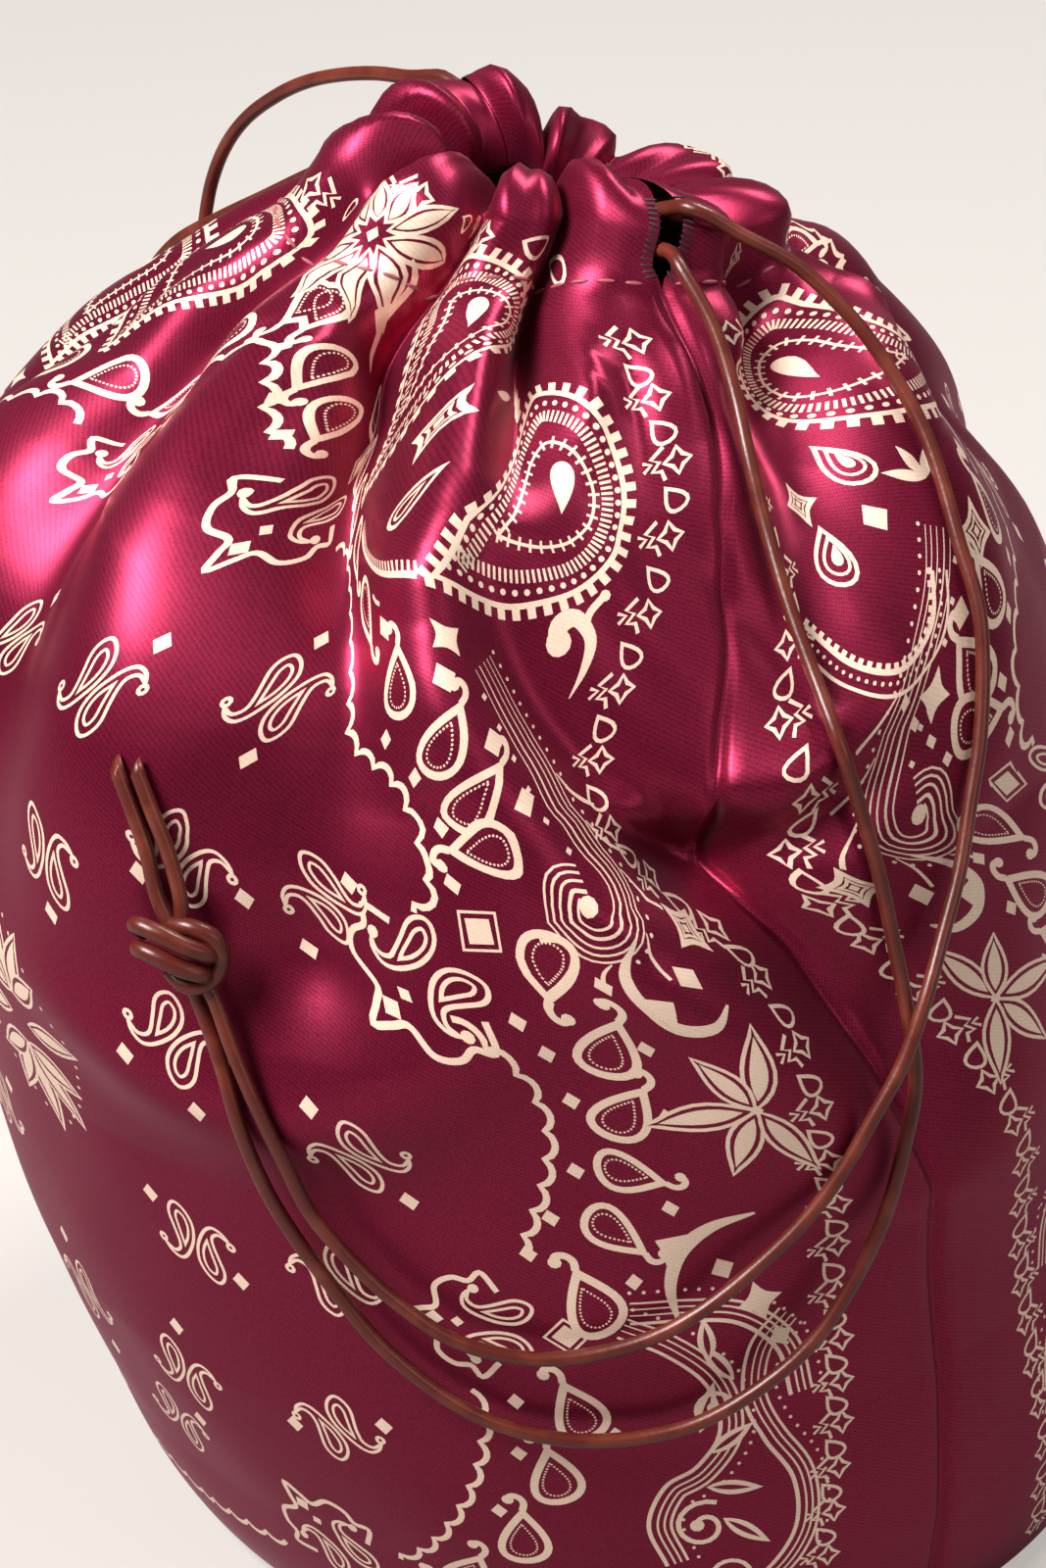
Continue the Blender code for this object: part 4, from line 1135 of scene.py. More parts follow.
class Nodes:
    """Adds the nodes of one tree, each with its input values and links in a single call."""

    def __init__(self, tree: bpy.types.NodeTree) -> None:
        """Take the tree that the nodes go into."""
        self.tree = tree

    def add(self, kind: str, inputs: dict[str | int, Any] | None = None, **settings: Any) -> bpy.types.Node:
        """Add a node.

        Args:
            kind: Type of the node.
            inputs: For each input its value, or the output socket that feeds it.
            settings: Properties of the node.

        Returns:
            The node.
        """
        node = self.tree.nodes.new(kind)
        for name, value in settings.items():
            setattr(node, name, value)
        return self.feed(node, inputs or {})

    def feed(self, node: bpy.types.Node, inputs: dict[str | int, Any]) -> bpy.types.Node:
        """Set or link inputs of a node, and give the node back."""
        for name, value in inputs.items():
            if isinstance(value, bpy.types.NodeSocket):
                self.tree.links.new(value, node.inputs[name])
            else:
                node.inputs[name].default_value = value
        return node


def opaque(colour: Colour) -> tuple[float, float, float, float]:
    """A colour with full alpha."""
    return (*colour, 1.0)


@dataclass(frozen=True)
class Finish:
    """A material on one Principled shader; in itself a matt finish in one colour, for thread and floor."""

    name: str
    colour: Colour
    roughness: float = 0.7

    def material(self) -> bpy.types.Material:
        """Build the material."""
        made = bpy.data.materials.new(self.name)
        made.use_nodes = True
        nodes = Nodes(made.node_tree)
        shader = made.node_tree.nodes["Principled BSDF"]
        nodes.feed(shader, {"Base Color": opaque(self.colour), "Roughness": self.roughness})
        self.refine(nodes, shader)
        return made

    def refine(self, nodes: Nodes, shader: bpy.types.Node) -> None:
        """Add what a finish has beyond its colour and roughness."""


@dataclass(frozen=True)
class Satin(Finish):
    """Printed satin: a tinted gloss that is drawn out along the warp, with a fine twill weave."""

    roughness: float = 0.38
    sheen: Colour = (1.0, 1.0, 1.0)
    metallic: float = 0.68
    anisotropy: float = 0.5
    speck: float = 0.5
    weave: float = 0.15
    threads_per_uv: float = 900.0
    twill_degrees: float = 28.0

    def refine(self, nodes: Nodes, shader: bpy.types.Node) -> None:
        """Add the sheen, the speckled tone and the relief of the weave."""
        nodes.feed(shader, {
            "Metallic": self.metallic, "Anisotropic": self.anisotropy, "Specular IOR Level": 0.4,
            "Specular Tint": opaque(self.sheen), "Sheen Weight": 0.05, "Sheen Roughness": 0.4,
            "Sheen Tint": opaque(self.sheen)})
        place = nodes.add("ShaderNodeUVMap", uv_map="Cloth")
        stretch = nodes.add("ShaderNodeMapping", {
            "Vector": place.outputs["UV"], "Scale": (self.threads_per_uv, self.threads_per_uv, 1.0),
            "Rotation": (0.0, 0.0, math.radians(self.twill_degrees))})
        squeeze = nodes.add("ShaderNodeMapping", {"Vector": stretch.outputs["Vector"], "Scale": (1.0, 0.6,
                                                                                                 1.0)})
        thread = nodes.add("ShaderNodeTexVoronoi", {
            "Vector": squeeze.outputs["Vector"], "Scale": 1.0, "Randomness": 0.25}).outputs["Distance"]
        speck = nodes.add("ShaderNodeMapRange", {
            "Value": thread, "From Min": 0.05, "From Max": 0.75, "To Min": 1.0 + self.speck,
            "To Max": 1.0 - self.speck})
        tone = nodes.add("ShaderNodeMix", data_type="RGBA", blend_type="MULTIPLY")
        nodes.feed(tone, {"Factor": 1.0, "A": opaque(self.colour), "B": speck.outputs["Result"]})
        bump = nodes.add("ShaderNodeBump", {"Strength": self.weave, "Distance": 0.05 * MM, "Height": thread})
        nodes.feed(shader, {"Base Color": tone.outputs["Result"], "Normal": bump.outputs["Normal"]})


@dataclass(frozen=True)
class Leather(Finish):
    """Round waxed leather lace with a fine grain and paler worn patches."""

    roughness: float = 0.34
    worn: Colour = (0.14, 0.026, 0.014)

    def refine(self, nodes: Nodes, shader: bpy.types.Node) -> None:
        """Add the worn patches and the relief of the grain."""
        place = nodes.add("ShaderNodeTexCoord").outputs["Object"]
        grain = nodes.add("ShaderNodeTexNoise", {"Vector": place, "Scale": 900.0, "Detail": 3.0})
        patches = nodes.add("ShaderNodeTexNoise", {"Vector": place, "Scale": 160.0})
        ramp = nodes.add("ShaderNodeMapRange", {
            "Value": patches.outputs["Fac"], "From Min": 0.45, "From Max": 0.75})
        tone = nodes.add("ShaderNodeMix", data_type="RGBA")
        nodes.feed(tone, {"Factor": ramp.outputs["Result"], "A": opaque(self.colour), "B": opaque(self.worn)})
        bump = nodes.add("ShaderNodeBump", {
            "Strength": 0.35, "Distance": 0.12 * MM, "Height": grain.outputs["Fac"]})
        nodes.feed(shader, {
            "Specular IOR Level": 0.4, "Base Color": tone.outputs["Result"],
            "Normal": bump.outputs["Normal"]})


@dataclass
class StitchRow:
    """Machine stitches along lines on the cloth, set by a Geometry Nodes tree."""

    name: str
    finish: bpy.types.Material
    pitch: float = 3.6 * MM
    length: float = 2.6 * MM
    width: float = 0.6 * MM
    twist: float = 0.0

    def tree(self) -> tuple[bpy.types.NodeTree, dict[str, str]]:
        """Build the tree that lays a stitch at each step of a line.

        Returns:
            The tree and the identifiers of its number inputs.
        """
        tree = bpy.data.node_groups.new(f"{self.name}_tree", "GeometryNodeTree")
        for way in ("INPUT", "OUTPUT"):
            tree.interface.new_socket("Geometry", in_out=way, socket_type="NodeSocketGeometry")
        keys = {name: tree.interface.new_socket(name, in_out="INPUT",
                                                socket_type="NodeSocketFloat").identifier
                for name in ("Pitch", "Length", "Width", "Twist")}
        nodes = Nodes(tree)
        given = nodes.add("NodeGroupInput").outputs
        curve = nodes.add("GeometryNodeMeshToCurve", {"Mesh": given["Geometry"]})
        steps = nodes.add("GeometryNodeResampleCurve", mode="LENGTH")
        nodes.feed(steps, {"Curve": curve.outputs["Curve"], "Length": given["Pitch"]})
        outward = nodes.add("GeometryNodeInputNamedAttribute", {"Name": "outward"}, data_type="FLOAT_VECTOR")
        stand = nodes.add("FunctionNodeAlignRotationToVector", {"Vector": outward.outputs["Attribute"]},
                          axis="Z")
        lie = nodes.add("FunctionNodeAlignRotationToVector", {
            "Rotation": stand.outputs["Rotation"],
            "Vector": nodes.add("GeometryNodeInputTangent").outputs["Tangent"]}, axis="X", pivot_axis="Z")
        twist = nodes.add("FunctionNodeAxisAngleToRotation", {"Angle": given["Twist"]})
        turn = nodes.add("FunctionNodeRotateRotation", {
            "Rotation": lie.outputs["Rotation"], "Rotate By": twist.outputs["Rotation"]},
            rotation_space="LOCAL")
        ball = nodes.add("GeometryNodeMeshUVSphere", {"Segments": 8, "Rings": 6, "Radius": 0.5})
        size = nodes.add("ShaderNodeCombineXYZ", {"X": given["Length"], "Y": given["Width"],
                                                  "Z": given["Width"]})
        lay = nodes.add("GeometryNodeInstanceOnPoints", {
            "Points": steps.outputs["Curve"], "Instance": ball.outputs["Mesh"],
            "Rotation": turn.outputs["Rotation"], "Scale": size.outputs["Vector"]})
        real = nodes.add("GeometryNodeRealizeInstances", {0: lay.outputs[0]})
        smooth = nodes.add("GeometryNodeSetShadeSmooth", {0: real.outputs[0]})
        dress = nodes.add("GeometryNodeSetMaterial", {0: smooth.outputs[0], "Material": self.finish})
        nodes.add("NodeGroupOutput", {0: dress.outputs[0]})
        return tree, keys

    def build(self, lines: list[tuple[Points, Points]]) -> bpy.types.Object:
        """Sew the stitches.

        Args:
            lines: Places and outward directions along each line.

        Returns:
            The stitches as one plain mesh.
        """
        mesh = bpy.data.meshes.new(self.name)
        edges, count = [], 0
        for places, _outward in lines:
            edges += [(count + k, count + k + 1) for k in range(len(places) - 1)]
            count += len(places)
        mesh.from_pydata(np.vstack([places for places, _outward in lines]).tolist(), edges, [])
        outward = mesh.attributes.new("outward", "FLOAT_VECTOR", "POINT")
        outward.data.foreach_set("vector", np.vstack([facing for _places, facing in lines]).ravel())
        item = link_object(self.name, mesh, self.finish)
        modifier = item.modifiers.new("stitches", "NODES")
        modifier.node_group, keys = self.tree()
        for name, key in keys.items():
            modifier[key] = getattr(self, name.lower())
        graph = bpy.context.evaluated_depsgraph_get()
        item.data = bpy.data.meshes.new_from_object(item.evaluated_get(graph))
        item.modifiers.clear()
        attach(item, "root")
        return item


def link_object(name: str, data: bpy.types.ID, *materials: bpy.types.Material) -> bpy.types.Object:
    """Put a mesh, curve, lamp or camera in the scene, with its materials if it has any."""
    for material in materials:
        data.materials.append(material)
    item = bpy.data.objects.new(name, data)
    bpy.context.scene.collection.objects.link(item)
    return item


def dress(name: str, material: bpy.types.Material) -> None:
    """Give a piece that the CAD frame made a material in all its slots."""
    for slot in bpy.data.objects[name].material_slots:
        slot.material = material


def tube(path: Points, radius: float | Points, sides: int = 12, slant: float = 0.0) -> tuple[Points, Faces]:
    """Round tube with closed ends along a path.

    Args:
        path: Middle of the tube.
        radius: Its radius, or one for each point of the path.
        sides: Number of its sides.
        slant: How far the last end is cut aslant, in radii.

    Returns:
        Its points and faces.
    """
    along = unit(np.gradient(path, axis=0))
    side = np.cross(along[0], (0.0, 0.0, 1.0))
    if np.linalg.norm(side) < 0.2:
        side = np.cross(along[0], (1.0, 0.0, 0.0))
    turn = np.linspace(0.0, 2 * math.pi, sides, endpoint=False)
    radii = np.broadcast_to(radius, len(path))
    rings = []
    for k, (point, ahead) in enumerate(zip(path, along)):
        side = side - ahead * (side @ ahead)
        side = side / np.linalg.norm(side)
        up = np.cross(ahead, side)
        ring = point + radii[k] * (np.cos(turn)[:, None] * side + np.sin(turn)[:, None] * up)
        if k == len(path) - 1 and slant:
            ring = ring + ahead * radii[k] * slant * (np.cos(turn)[:, None])
        rings.append(ring)
    last = (len(path) - 1) * sides
    faces = [(k + i, k + (i + 1) % sides, k + sides + (i + 1) % sides, k + sides + i)
             for k in range(0, last, sides) for i in range(sides)]
    return np.vstack(rings), [*faces, tuple(range(sides))[::-1], tuple(range(last, last + sides))]


def joined_mesh(name: str, parts: list[tuple[Points, Faces]]) -> bpy.types.Mesh:
    """One smooth mesh of several parts."""
    points, faces, count = [], [], 0
    for part_points, part_faces in parts:
        points.append(part_points)
        faces += [tuple(index + count for index in face) for face in part_faces]
        count += len(part_points)
    mesh = bpy.data.meshes.new(name)
    mesh.from_pydata(np.vstack(points).tolist(), [], faces)
    mesh.shade_smooth()
    return mesh


# The free strands' routes in mm, as the CAD frame has them
RIGHT_UPPER: Line = (
    (8.85, -7.26, 197.1), (8.4, -8.0, 197.35), (8.9, -8.9, 197.8), (10.9, -9.3, 198.5), (13.3, -8.8, 199.4),
    (15.5, -8.4, 200.2), (17.8, -8.5, 200.9), (20.2, -6.8, 200.0), (23.0, -3.5, 197.2), (27.4, 1.7, 193.1),
    (33.0, 5.5, 187.2), (38.4, 7.2, 181.6), (44.6, 7.6, 175.1), (49.8, 6.5, 169.1), (55.2, 4.6, 162.3),
    (60.5, 3.1, 155.2), (63.5, 1.1, 147.9), (66.4, -2.1, 140.0), (68.4, -5.6, 133.2), (70.9, -9.9, 125.7),
    (73.0, -15.0, 118.6), (75.0, -19.8, 112.5), (75.8, -24.5, 105.0), (75.3, -29.1, 98.5),
    (74.2, -34.0, 91.1),
    (72.3, -38.7, 84.9), (69.4, -44.6, 78.8), (66.1, -51.1, 73.5), (62.4, -57.3, 70.1), (57.3, -64.4, 68.3),
    (52.3, -70.6, 68.6), (46.4, -76.7, 71.4), (40.9, -81.3, 76.7), (36.8, -84.9, 82.6), (33.0, -88.4, 89.9),
    (30.5, -90.3, 97.3), (27.6, -92.1, 105.5), (24.3, -92.9, 112.8), (20.9, -93.5, 120.6),
)
RIGHT_LOWER: Line = (
    (6.0, -12.03, 192.35), (7.3, -11.4, 192.5), (8.8, -11.0, 193.2), (11.1, -10.6, 193.9),
    (13.4, -10.3, 194.4),
    (15.7, -10.2, 194.8), (17.9, -11.0, 195.1), (20.4, -12.1, 194.5), (26.7, -12.3, 188.5),
    (32.3, -13.9, 181.8),
    (38.6, -17.0, 174.8), (43.8, -18.9, 167.5), (50.3, -21.3, 160.3), (56.5, -23.1, 154.0),
    (63.8, -25.4, 147.3),
    (66.4, -24.0, 138.5), (68.7, -22.5, 128.9), (70.8, -21.6, 119.2), (72.9, -21.1, 110.4),
    (75.2, -21.4, 100.7),
    (75.8, -23.6, 92.0), (75.9, -26.9, 82.6), (75.0, -30.8, 74.5), (73.4, -36.3, 66.3), (70.6, -42.4, 60.4),
    (66.5, -50.2, 55.7), (61.6, -57.4, 53.8), (55.6, -65.3, 54.2), (49.1, -72.3, 57.1), (43.5, -77.4, 61.9),
    (37.9, -82.0, 68.8), (33.8, -85.2, 76.1), (30.0, -88.7, 84.7), (27.4, -91.4, 92.9), (25.5, -93.5, 102.4),
    (22.2, -93.5, 110.8), (18.4, -94.0, 119.6),
)
LEFT_UPPER: Line = (
    (-23.96, -9.02, 201.8), (-23.6, -8.3, 201.85), (-24.1, -7.5, 202.2), (-25.9, -7.0, 203.1),
    (-27.9, -7.1, 204.0),
    (-29.5, -7.2, 204.5), (-31.6, -7.3, 204.8), (-34.2, -7.6, 204.2), (-38.0, -8.0, 203.2),
    (-44.7, -8.0, 201.9),
    (-52.4, -8.0, 199.6), (-59.8, -8.0, 196.6), (-66.7, -8.0, 192.7), (-73.9, -8.0, 187.4),
    (-79.3, -8.0, 181.5),
    (-83.2, -8.0, 174.6), (-84.8, -8.6, 167.3), (-86.4, -8.3, 160.8), (-88.6, -7.6, 154.1),
    (-91.5, -6.3, 146.9),
    (-93.7, -4.8, 139.4), (-94.6, -3.7, 131.6), (-95.1, -2.6, 123.7), (-95.8, -0.4, 115.0),
    (-96.1, 1.8, 107.3),
    (-95.6, 3.8, 99.6), (-94.7, 6.2, 92.1), (-93.6, 8.8, 84.6), (-92.3, 12.0, 77.4), (-90.6, 15.7, 70.6),
    (-88.4, 19.8, 64.2), (-85.5, 24.8, 58.6), (-82.0, 30.0, 53.7), (-77.4, 36.8, 50.2), (-72.7, 43.0, 48.7),
    (-67.6, 49.0, 49.2), (-63.2, 53.9, 53.1), (-59.4, 58.0, 60.6), (-57.6, 60.0, 66.2),
)
LEFT_LOWER: Line = (
    (-24.15, -7.2, 195.8), (-25.2, -7.8, 196.0), (-26.3, -8.2, 196.7), (-28.2, -8.3, 197.4),
    (-30.2, -8.1, 198.0),
    (-32.1, -7.9, 198.6), (-34.4, -7.9, 198.5), (-36.8, -8.7, 197.3), (-40.4, -10.1, 194.4),
    (-45.0, -11.8, 190.9),
    (-52.6, -14.1, 186.4), (-59.9, -16.4, 181.7), (-67.3, -18.7, 177.0), (-74.5, -20.8, 172.0),
    (-80.7, -21.4, 165.6),
    (-86.2, -21.5, 158.5), (-90.8, -21.2, 150.7), (-94.0, -20.1, 142.4), (-95.3, -18.2, 133.7),
    (-95.5, -15.8, 125.0),
    (-96.2, -13.9, 116.3), (-97.1, -12.2, 107.5), (-97.0, -9.9, 98.8), (-96.1, -7.5, 91.2),
    (-94.9, -4.7, 82.7),
    (-93.6, -1.5, 74.4), (-92.1, 1.7, 66.1), (-90.2, 6.0, 58.5), (-88.0, 11.1, 51.4), (-85.1, 16.9, 45.2),
    (-81.7, 23.9, 40.6), (-77.8, 31.0, 36.9), (-73.2, 38.5, 35.1), (-68.1, 45.8, 34.9), (-62.4, 52.5, 36.9),
    (-57.9, 57.2, 42.4), (-55.4, 60.2, 50.6), (-54.4, 61.6, 58.8), (-54.0, 62.0, 65.6),
)
RIGHT_TAILS: tuple[Line, ...] = (
    ((15.0, -96.2, 132.3), (13.2, -96.1, 138.1), (10.8, -96.3, 143.5), (7.8, -96.2, 148.5)),
    ((17.6, -94.6, 132.4), (15.6, -94.5, 138.2), (13.3, -95.0, 143.6), (10.3, -94.9, 148.6)),
)
LEFT_TAILS: tuple[Line, ...] = (
    ((-54.4, 62.8, 78.4), (-53.6, 62.8, 85.0), (-53.0, 62.9, 91.0), (-52.3, 62.8, 98.0)),
    ((-57.2, 60.8, 78.4), (-57.4, 60.4, 85.0), (-57.4, 60.2, 91.0), (-57.0, 60.2, 97.0)),
)


@dataclass
class Drawcord:
    """One drawcord outside the casing: two strands, their overhand knot and the two cut ends."""

    side: Side
    upper: Line
    lower: Line
    tails: tuple[Line, ...]
    knot_centre: tuple[float, float, float]
    knot_out: tuple[float, float, float]
    knot_up: tuple[float, float, float]
    diameter: float = 2.0 * MM
    knot_wraps: tuple[Line, ...] = (
        ((-4.4, 1.6, -1.4), (-5.6, 3.2, -0.4), (-4.9, 4.1, 1.2), (-2.4, 3.7, 2.3), (0.6, 2.4, 2.7),
         (3.2, 1.1, 1.9),
         (4.3, 0.0, 0.3), (3.4, -0.9, -1.2)),
        ((-3.6, -1.6, -1.5), (-5.0, -0.4, -0.7), (-4.9, 0.6, 0.9), (-2.7, 0.4, 2.2), (0.2, -0.8, 2.6),
         (2.6, -1.9, 1.9), (3.6, -2.9, 0.3), (2.6, -3.4, -1.2)),
        ((-1.4, 3.6, -0.6), (1.2, 3.9, 0.6), (3.9, 2.9, 0.9), (5.1, 0.6, 0.6), (4.9, -1.9, 0.5),
         (3.2, -3.9, 0.8),
         (0.6, -4.1, 0.9), (-1.6, -2.9, -0.2)),
    )
    wrap_radius: float = 1.22

    def axes(self) -> tuple[Points, Points, Points]:
        """Side, up and outward directions of the knot."""
        outward = Vector(self.knot_out).normalized()
        side = Vector(self.knot_up).cross(outward).normalized()
        return np.array(side), np.array(outward.cross(side)), np.array(outward)

    def strand(self, route: Line, name: str, leather: bpy.types.Material) -> tuple[bpy.types.Object, float]:
        """Make a free strand as a curve, carried on a little into its knot.

        Args:
            route: Its route in mm.
            name: Its name.
            leather: Its material.

        Returns:
            The object and its length.
        """
        side, up, outward = self.axes()
        known = np.array(route)
        last = np.array(self.knot_centre) - up * 2.0 + outward * 0.2
        path = even_points(smooth_curve(np.vstack([known, last]), 8), 1.2) * MM
        curve = bpy.data.curves.new(name, "CURVE")
        curve.dimensions = "3D"
        spline = curve.splines.new("POLY")
        spline.points.add(len(path) - 1)
        spline.points.foreach_set("co", np.column_stack([path, np.ones(len(path))]).ravel())
        spline.use_smooth = True
        curve.bevel_depth = self.diameter / 2
        curve.bevel_resolution = 4
        curve.use_fill_caps = True
        length = float(np.linalg.norm(np.diff(path, axis=0), axis=1).sum())
        return link_object(name, curve, leather), length

    def knot(self, name: str, leather: bpy.types.Material) -> bpy.types.Object:
        """Make the overhand knot of wrapped cord."""
        side, up, outward = self.axes()
        centre = np.array(self.knot_centre)
        parts = []
        for wrap in self.knot_wraps:
            local = even_points(smooth_curve(wrap, 8), 0.35)
            path = centre + local[:, :1] * side + local[:, 1:2] * up + local[:, 2:] * outward
            share = np.linspace(0.0, 1.0, len(path))
            thick = self.wrap_radius * (1.0 - 0.25 * np.abs(2 * share - 1.0) ** 4)
            parts.append(tube(path * MM, thick * MM, 14))
        return link_object(name, joined_mesh(name, parts), leather)

    def tail(self, route: Line, name: str, leather: bpy.types.Material) -> bpy.types.Object:
        """Make a cut end, carried on into the knot."""
        side, up, outward = self.axes()
        known = np.array(route)
        first = np.array(self.knot_centre) + up * 1.5 + outward * 0.4
        path = even_points(smooth_curve(np.vstack([first, known]), 8), 0.8) * MM
        return link_object(name, joined_mesh(name, [tube(path, self.diameter / 2, 14, 1.1)]), leather)

    def build(self, leather: bpy.types.Material) -> None:
        """Make the drawcord, hide the CAD parts that it replaces and attach its pieces to the root."""
        prefix = f"{self.side.value}_cord"
        knot = self.knot(f"{prefix}_overhand_knot", leather)
        ends = [self.tail(route, f"{prefix}_cut_end_{letter}", leather) for route,
                letter in zip(self.tails, "ab")]
        upper, upper_length = self.strand(self.upper, f"{prefix}_upper_lace", leather)
        lower, lower_length = self.strand(self.lower, f"{prefix}_lower_lace", leather)
        pieces = zip((knot, *ends, upper, lower), ("knot", "end_a", "end_b", "upper_strand", "lower_strand"))
        for piece, node in pieces:
            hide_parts(f"{prefix}_{node}")
            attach(piece, "root")
        LOG.info("%s drawcord: strands %.3f and %.3f m", self.side.value, upper_length, lower_length)


@dataclass
class Studio:
    """Camera, soft lamps, floor and background of the photograph."""

    azimuth: float = 47.0
    elevation: float = 30.0
    target: tuple[float, float, float] = (0.0, 0.0, 0.100)
    distance: float = 0.625
    lens: float = 100.0
    shift: tuple[float, float] = (-0.0749, 0.0202)
    floor_colour: Colour = (0.225, 0.214, 0.206)
    floor_light: Colour = (0.82, 0.765, 0.72)
    background: Colour = (0.83, 0.775, 0.73)
    sky_colour: Colour = (1.0, 0.97, 0.94)
    sky_strength: float = 0.10
    floor_glow: float = 0.54
    bounce_glow: float = 0.08

    def axes(self) -> tuple[Vector, Vector, Vector]:
        """Right, up and back directions of the camera."""
        a, e = math.radians(self.azimuth), math.radians(self.elevation)
        back = Vector((math.sin(a) * math.cos(e), -math.cos(a) * math.cos(e), math.sin(e)))
        right = Vector((math.cos(a), math.sin(a), 0.0))
        return right, back.cross(right), back

    def camera(self) -> None:
        """Stand the camera where the photograph was taken from."""
        right, up, back = self.axes()
        data = bpy.data.cameras.new("camera")
        data.sensor_fit = "VERTICAL"
        data.sensor_height = 36.0
        data.lens = self.lens
        data.shift_x, data.shift_y = self.shift
        data.clip_start = 0.01
        item = link_object("camera", data)
        place = Vector(self.target) + back * self.distance
        turn = Matrix((right, up, back)).transposed().to_4x4()
        item.matrix_world = Matrix.Translation(place) @ turn
        bpy.context.scene.camera = item

    def lamp(self, name: str, place: tuple[float, float, float], size: tuple[float, float], power: float,
             colour: Colour = (1.0, 0.98, 0.95)) -> None:
        """Hang a soft lamp that looks at the pouch.

        Args:
            name: Its name.
            place: Its place from the target: to the camera's right, up, and level towards the camera.
            size: Width and height.
            power: Power in watts.
            colour: Colour of its light.
        """
        right, _up, back = self.axes()
        level = Vector((back.x, back.y, 0.0)).normalized()
        data = bpy.data.lights.new(name, "AREA")
        data.shape = "RECTANGLE"
        data.size, data.size_y = size
        data.energy = power
        data.color = colour
        item = link_object(name, data)
        target = Vector(self.target)
        item.location = target + right * place[0] + Vector((0.0, 0.0, place[1])) + level * place[2]
        item.rotation_euler = (target - item.location).to_track_quat("-Z", "Y").to_euler()

    def floor(self) -> None:
        """Lay the pale floor, which glows more for the camera than for the pouch."""
        mesh = bpy.data.meshes.new("floor")
        reach = 3.0
        corners = [(-reach, -reach, 0.0), (reach, -reach, 0.0), (reach, reach, 0.0), (-reach, reach, 0.0)]
        mesh.from_pydata(corners, [], [(0, 1, 2, 3)])
        finish = Finish("floor", self.floor_colour, 0.8).material()
        nodes = Nodes(finish.node_tree)
        rays = nodes.add("ShaderNodeLightPath").outputs["Is Camera Ray"]
        glow = nodes.add("ShaderNodeMapRange", {
            "Value": rays, "To Min": self.bounce_glow, "To Max": self.floor_glow})
        nodes.feed(finish.node_tree.nodes["Principled BSDF"], {
            "Emission Color": opaque(self.floor_light), "Emission Strength": glow.outputs["Result"]})
        link_object("floor", mesh, finish)

    def world(self) -> None:
        """Light from all round, and the backdrop's own colour for the camera."""
        world = bpy.data.worlds.new("studio")
        bpy.context.scene.world = world
        world.use_nodes = True
        nodes = Nodes(world.node_tree)
        light = nodes.feed(world.node_tree.nodes["Background"], {
            "Color": opaque(self.sky_colour), "Strength": self.sky_strength})
        shown = nodes.add("ShaderNodeBackground", {"Color": opaque(self.background)})
        rays = nodes.add("ShaderNodeLightPath").outputs["Is Camera Ray"]
        mix = nodes.add("ShaderNodeMixShader", {0: rays, 1: light.outputs[0], 2: shown.outputs[0]})
        nodes.feed(world.node_tree.nodes["World Output"], {"Surface": mix.outputs[0]})

    def build(self) -> None:
        """Set the whole studio up."""
        bpy.context.scene.view_settings.view_transform = "Standard"
        self.camera()
        self.floor()
        self.world()
        self.lamp("key", (-0.62, 0.9, 0.45), (0.4, 0.4), 31.0)
        self.lamp("fill", (0.8, 0.5, 0.7), (0.5, 0.7), 2.2)
        self.lamp("top", (0.4, 1.0, -0.45), (0.45, 0.3), 13.5)


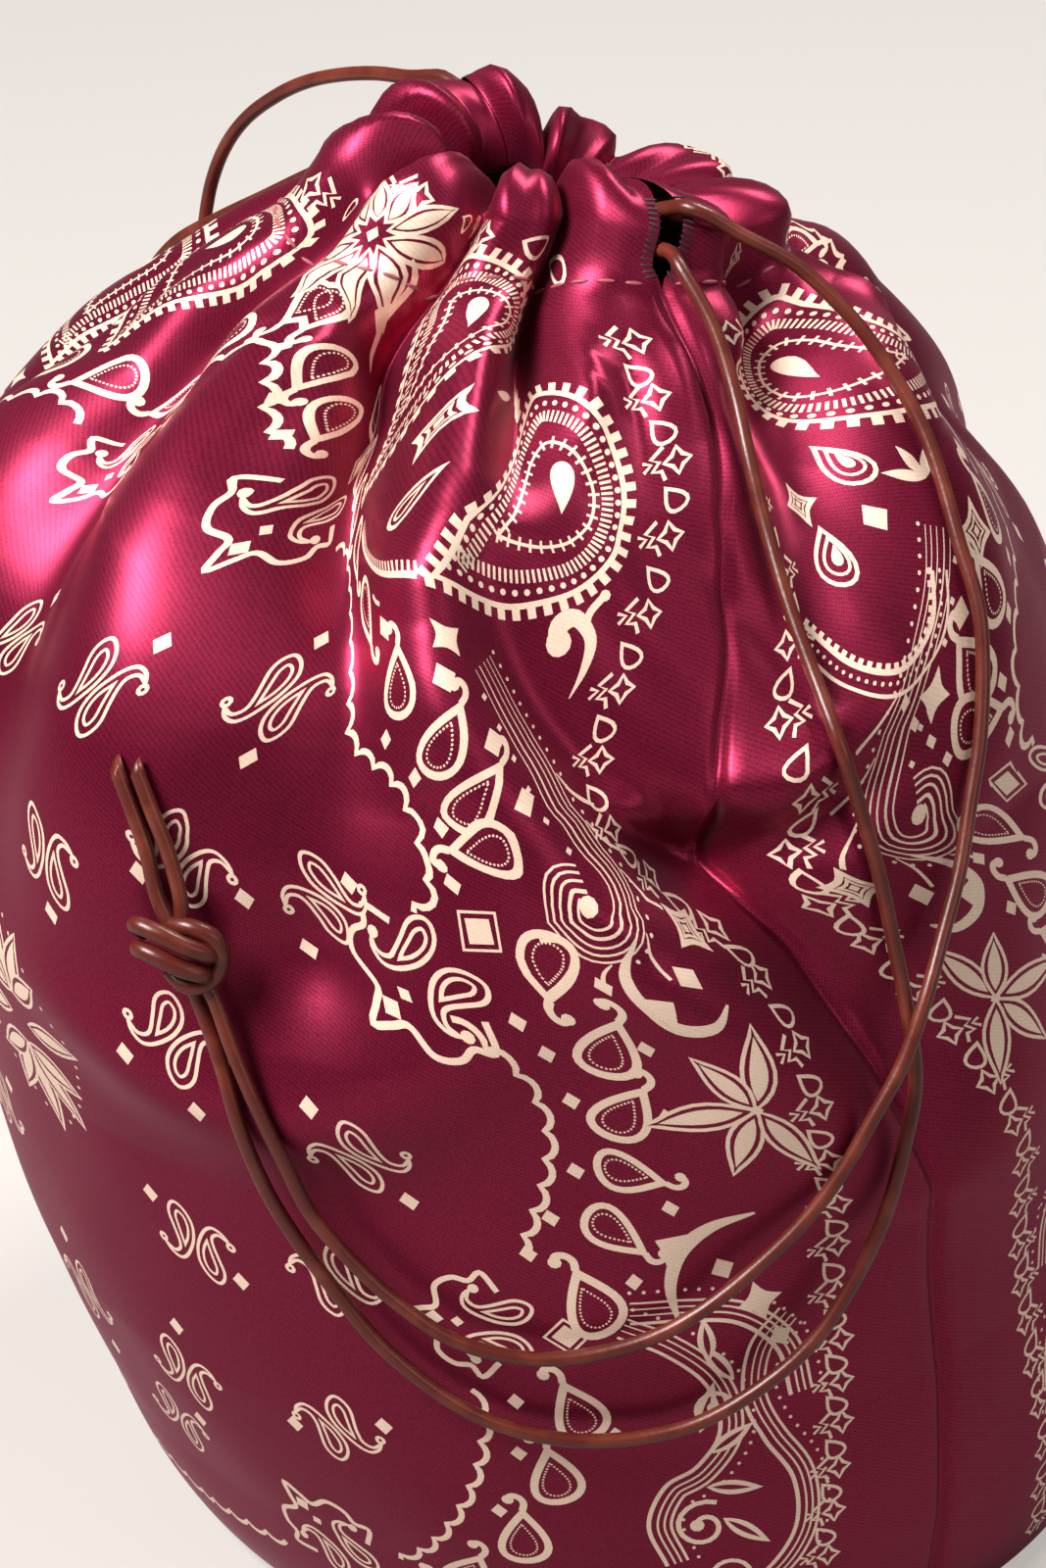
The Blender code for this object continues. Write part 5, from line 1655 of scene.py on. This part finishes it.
def sew_panel(chart: ClothMap, name: str, red: bpy.types.Material,
              black: bpy.types.Material) -> list[bpy.types.Object]:
    """Sew the casing's topstitch and the overlocked slit edges of a panel.

    Args:
        chart: The panel's place on the wall.
        name: Name of the panel.
        red: Material of the topstitch.
        black: Material of the overlock thread.

    Returns:
        The two rows of stitches.
    """
    stitch, half = chart.form.stitch_run / MM, chart.width / 2
    across = np.arange(3.0 - half, half - 3.0, 0.5)
    topstitch = StitchRow(f"{name}_casing_topstitch",
                          red).build([chart.place(across, np.full_like(across, stitch - 0.6))])
    up = np.arange(stitch + 0.4, chart.turn + 5.0, 0.4)
    edges = [chart.place(np.full_like(up, side * (half - 0.7)), up) for side in (-1.0, 1.0)]
    overlock = StitchRow(f"{name}_slit_overlock", black, 0.75 * MM, 2.0 * MM, 0.34 * MM, 1.2).build(edges)
    return [topstitch, overlock]


def build_panels(form: PouchForm) -> None:
    """Make both cloth panels and dress the base."""
    ground = Satin("burgundy_satin_cloth", SATIN_RED, sheen=SATIN_SHEEN).material()
    cream = Satin("cream_print", (0.76, 0.565, 0.44), sheen=(1.0, 0.9, 0.85), metallic=0.25,
                  speck=0.12).material()
    red_thread = Finish("dark_red_thread", (0.30, 0.060, 0.080), 0.5).material()
    black_thread = Finish("black_overlock_thread", (0.012, 0.008, 0.010), 0.6).material()
    design = BandanaDesign()
    for name, start, front in (("front_panel", -180.0, True), ("back_panel", 0.0, False)):
        chart = ClothMap(form, start)
        panel = PrintedPanel(f"{name}_cloth", chart, design.pattern(front)).build(ground, cream)
        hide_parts(name)
        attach(panel, "root")
        sewn = sew_panel(chart, name, red_thread, black_thread)
    dress("base_panel", Satin("base_satin", SATIN_RED, sheen=SATIN_SHEEN).material())


def main() -> None:
    """Dress the pouch and set up the studio."""
    logging.basicConfig(level=logging.INFO, format="%(message)s")
    Studio().build()
    form = PouchForm()
    leather = Leather("brown_leather_lace", (0.075, 0.010, 0.006)).material()
    right = Drawcord(Side.RIGHT, RIGHT_UPPER, RIGHT_LOWER, RIGHT_TAILS, (18.5, -95.8, 125.9),
                     (0.72, -0.69, 0.05),
                     (-0.01, 0.08, 1.0))
    left = Drawcord(Side.LEFT, LEFT_UPPER, LEFT_LOWER, LEFT_TAILS, (-56.7, 62.8, 72.0), (-0.54, 0.84, -0.04),
                    (-0.05, -0.05, 1.0))
    for cord in (right, left):
        cord.build(leather)
        dress(f"{cord.side.value}_cord_casing_loop", leather)
    build_panels(form)


if __name__ == "__main__":
    main()
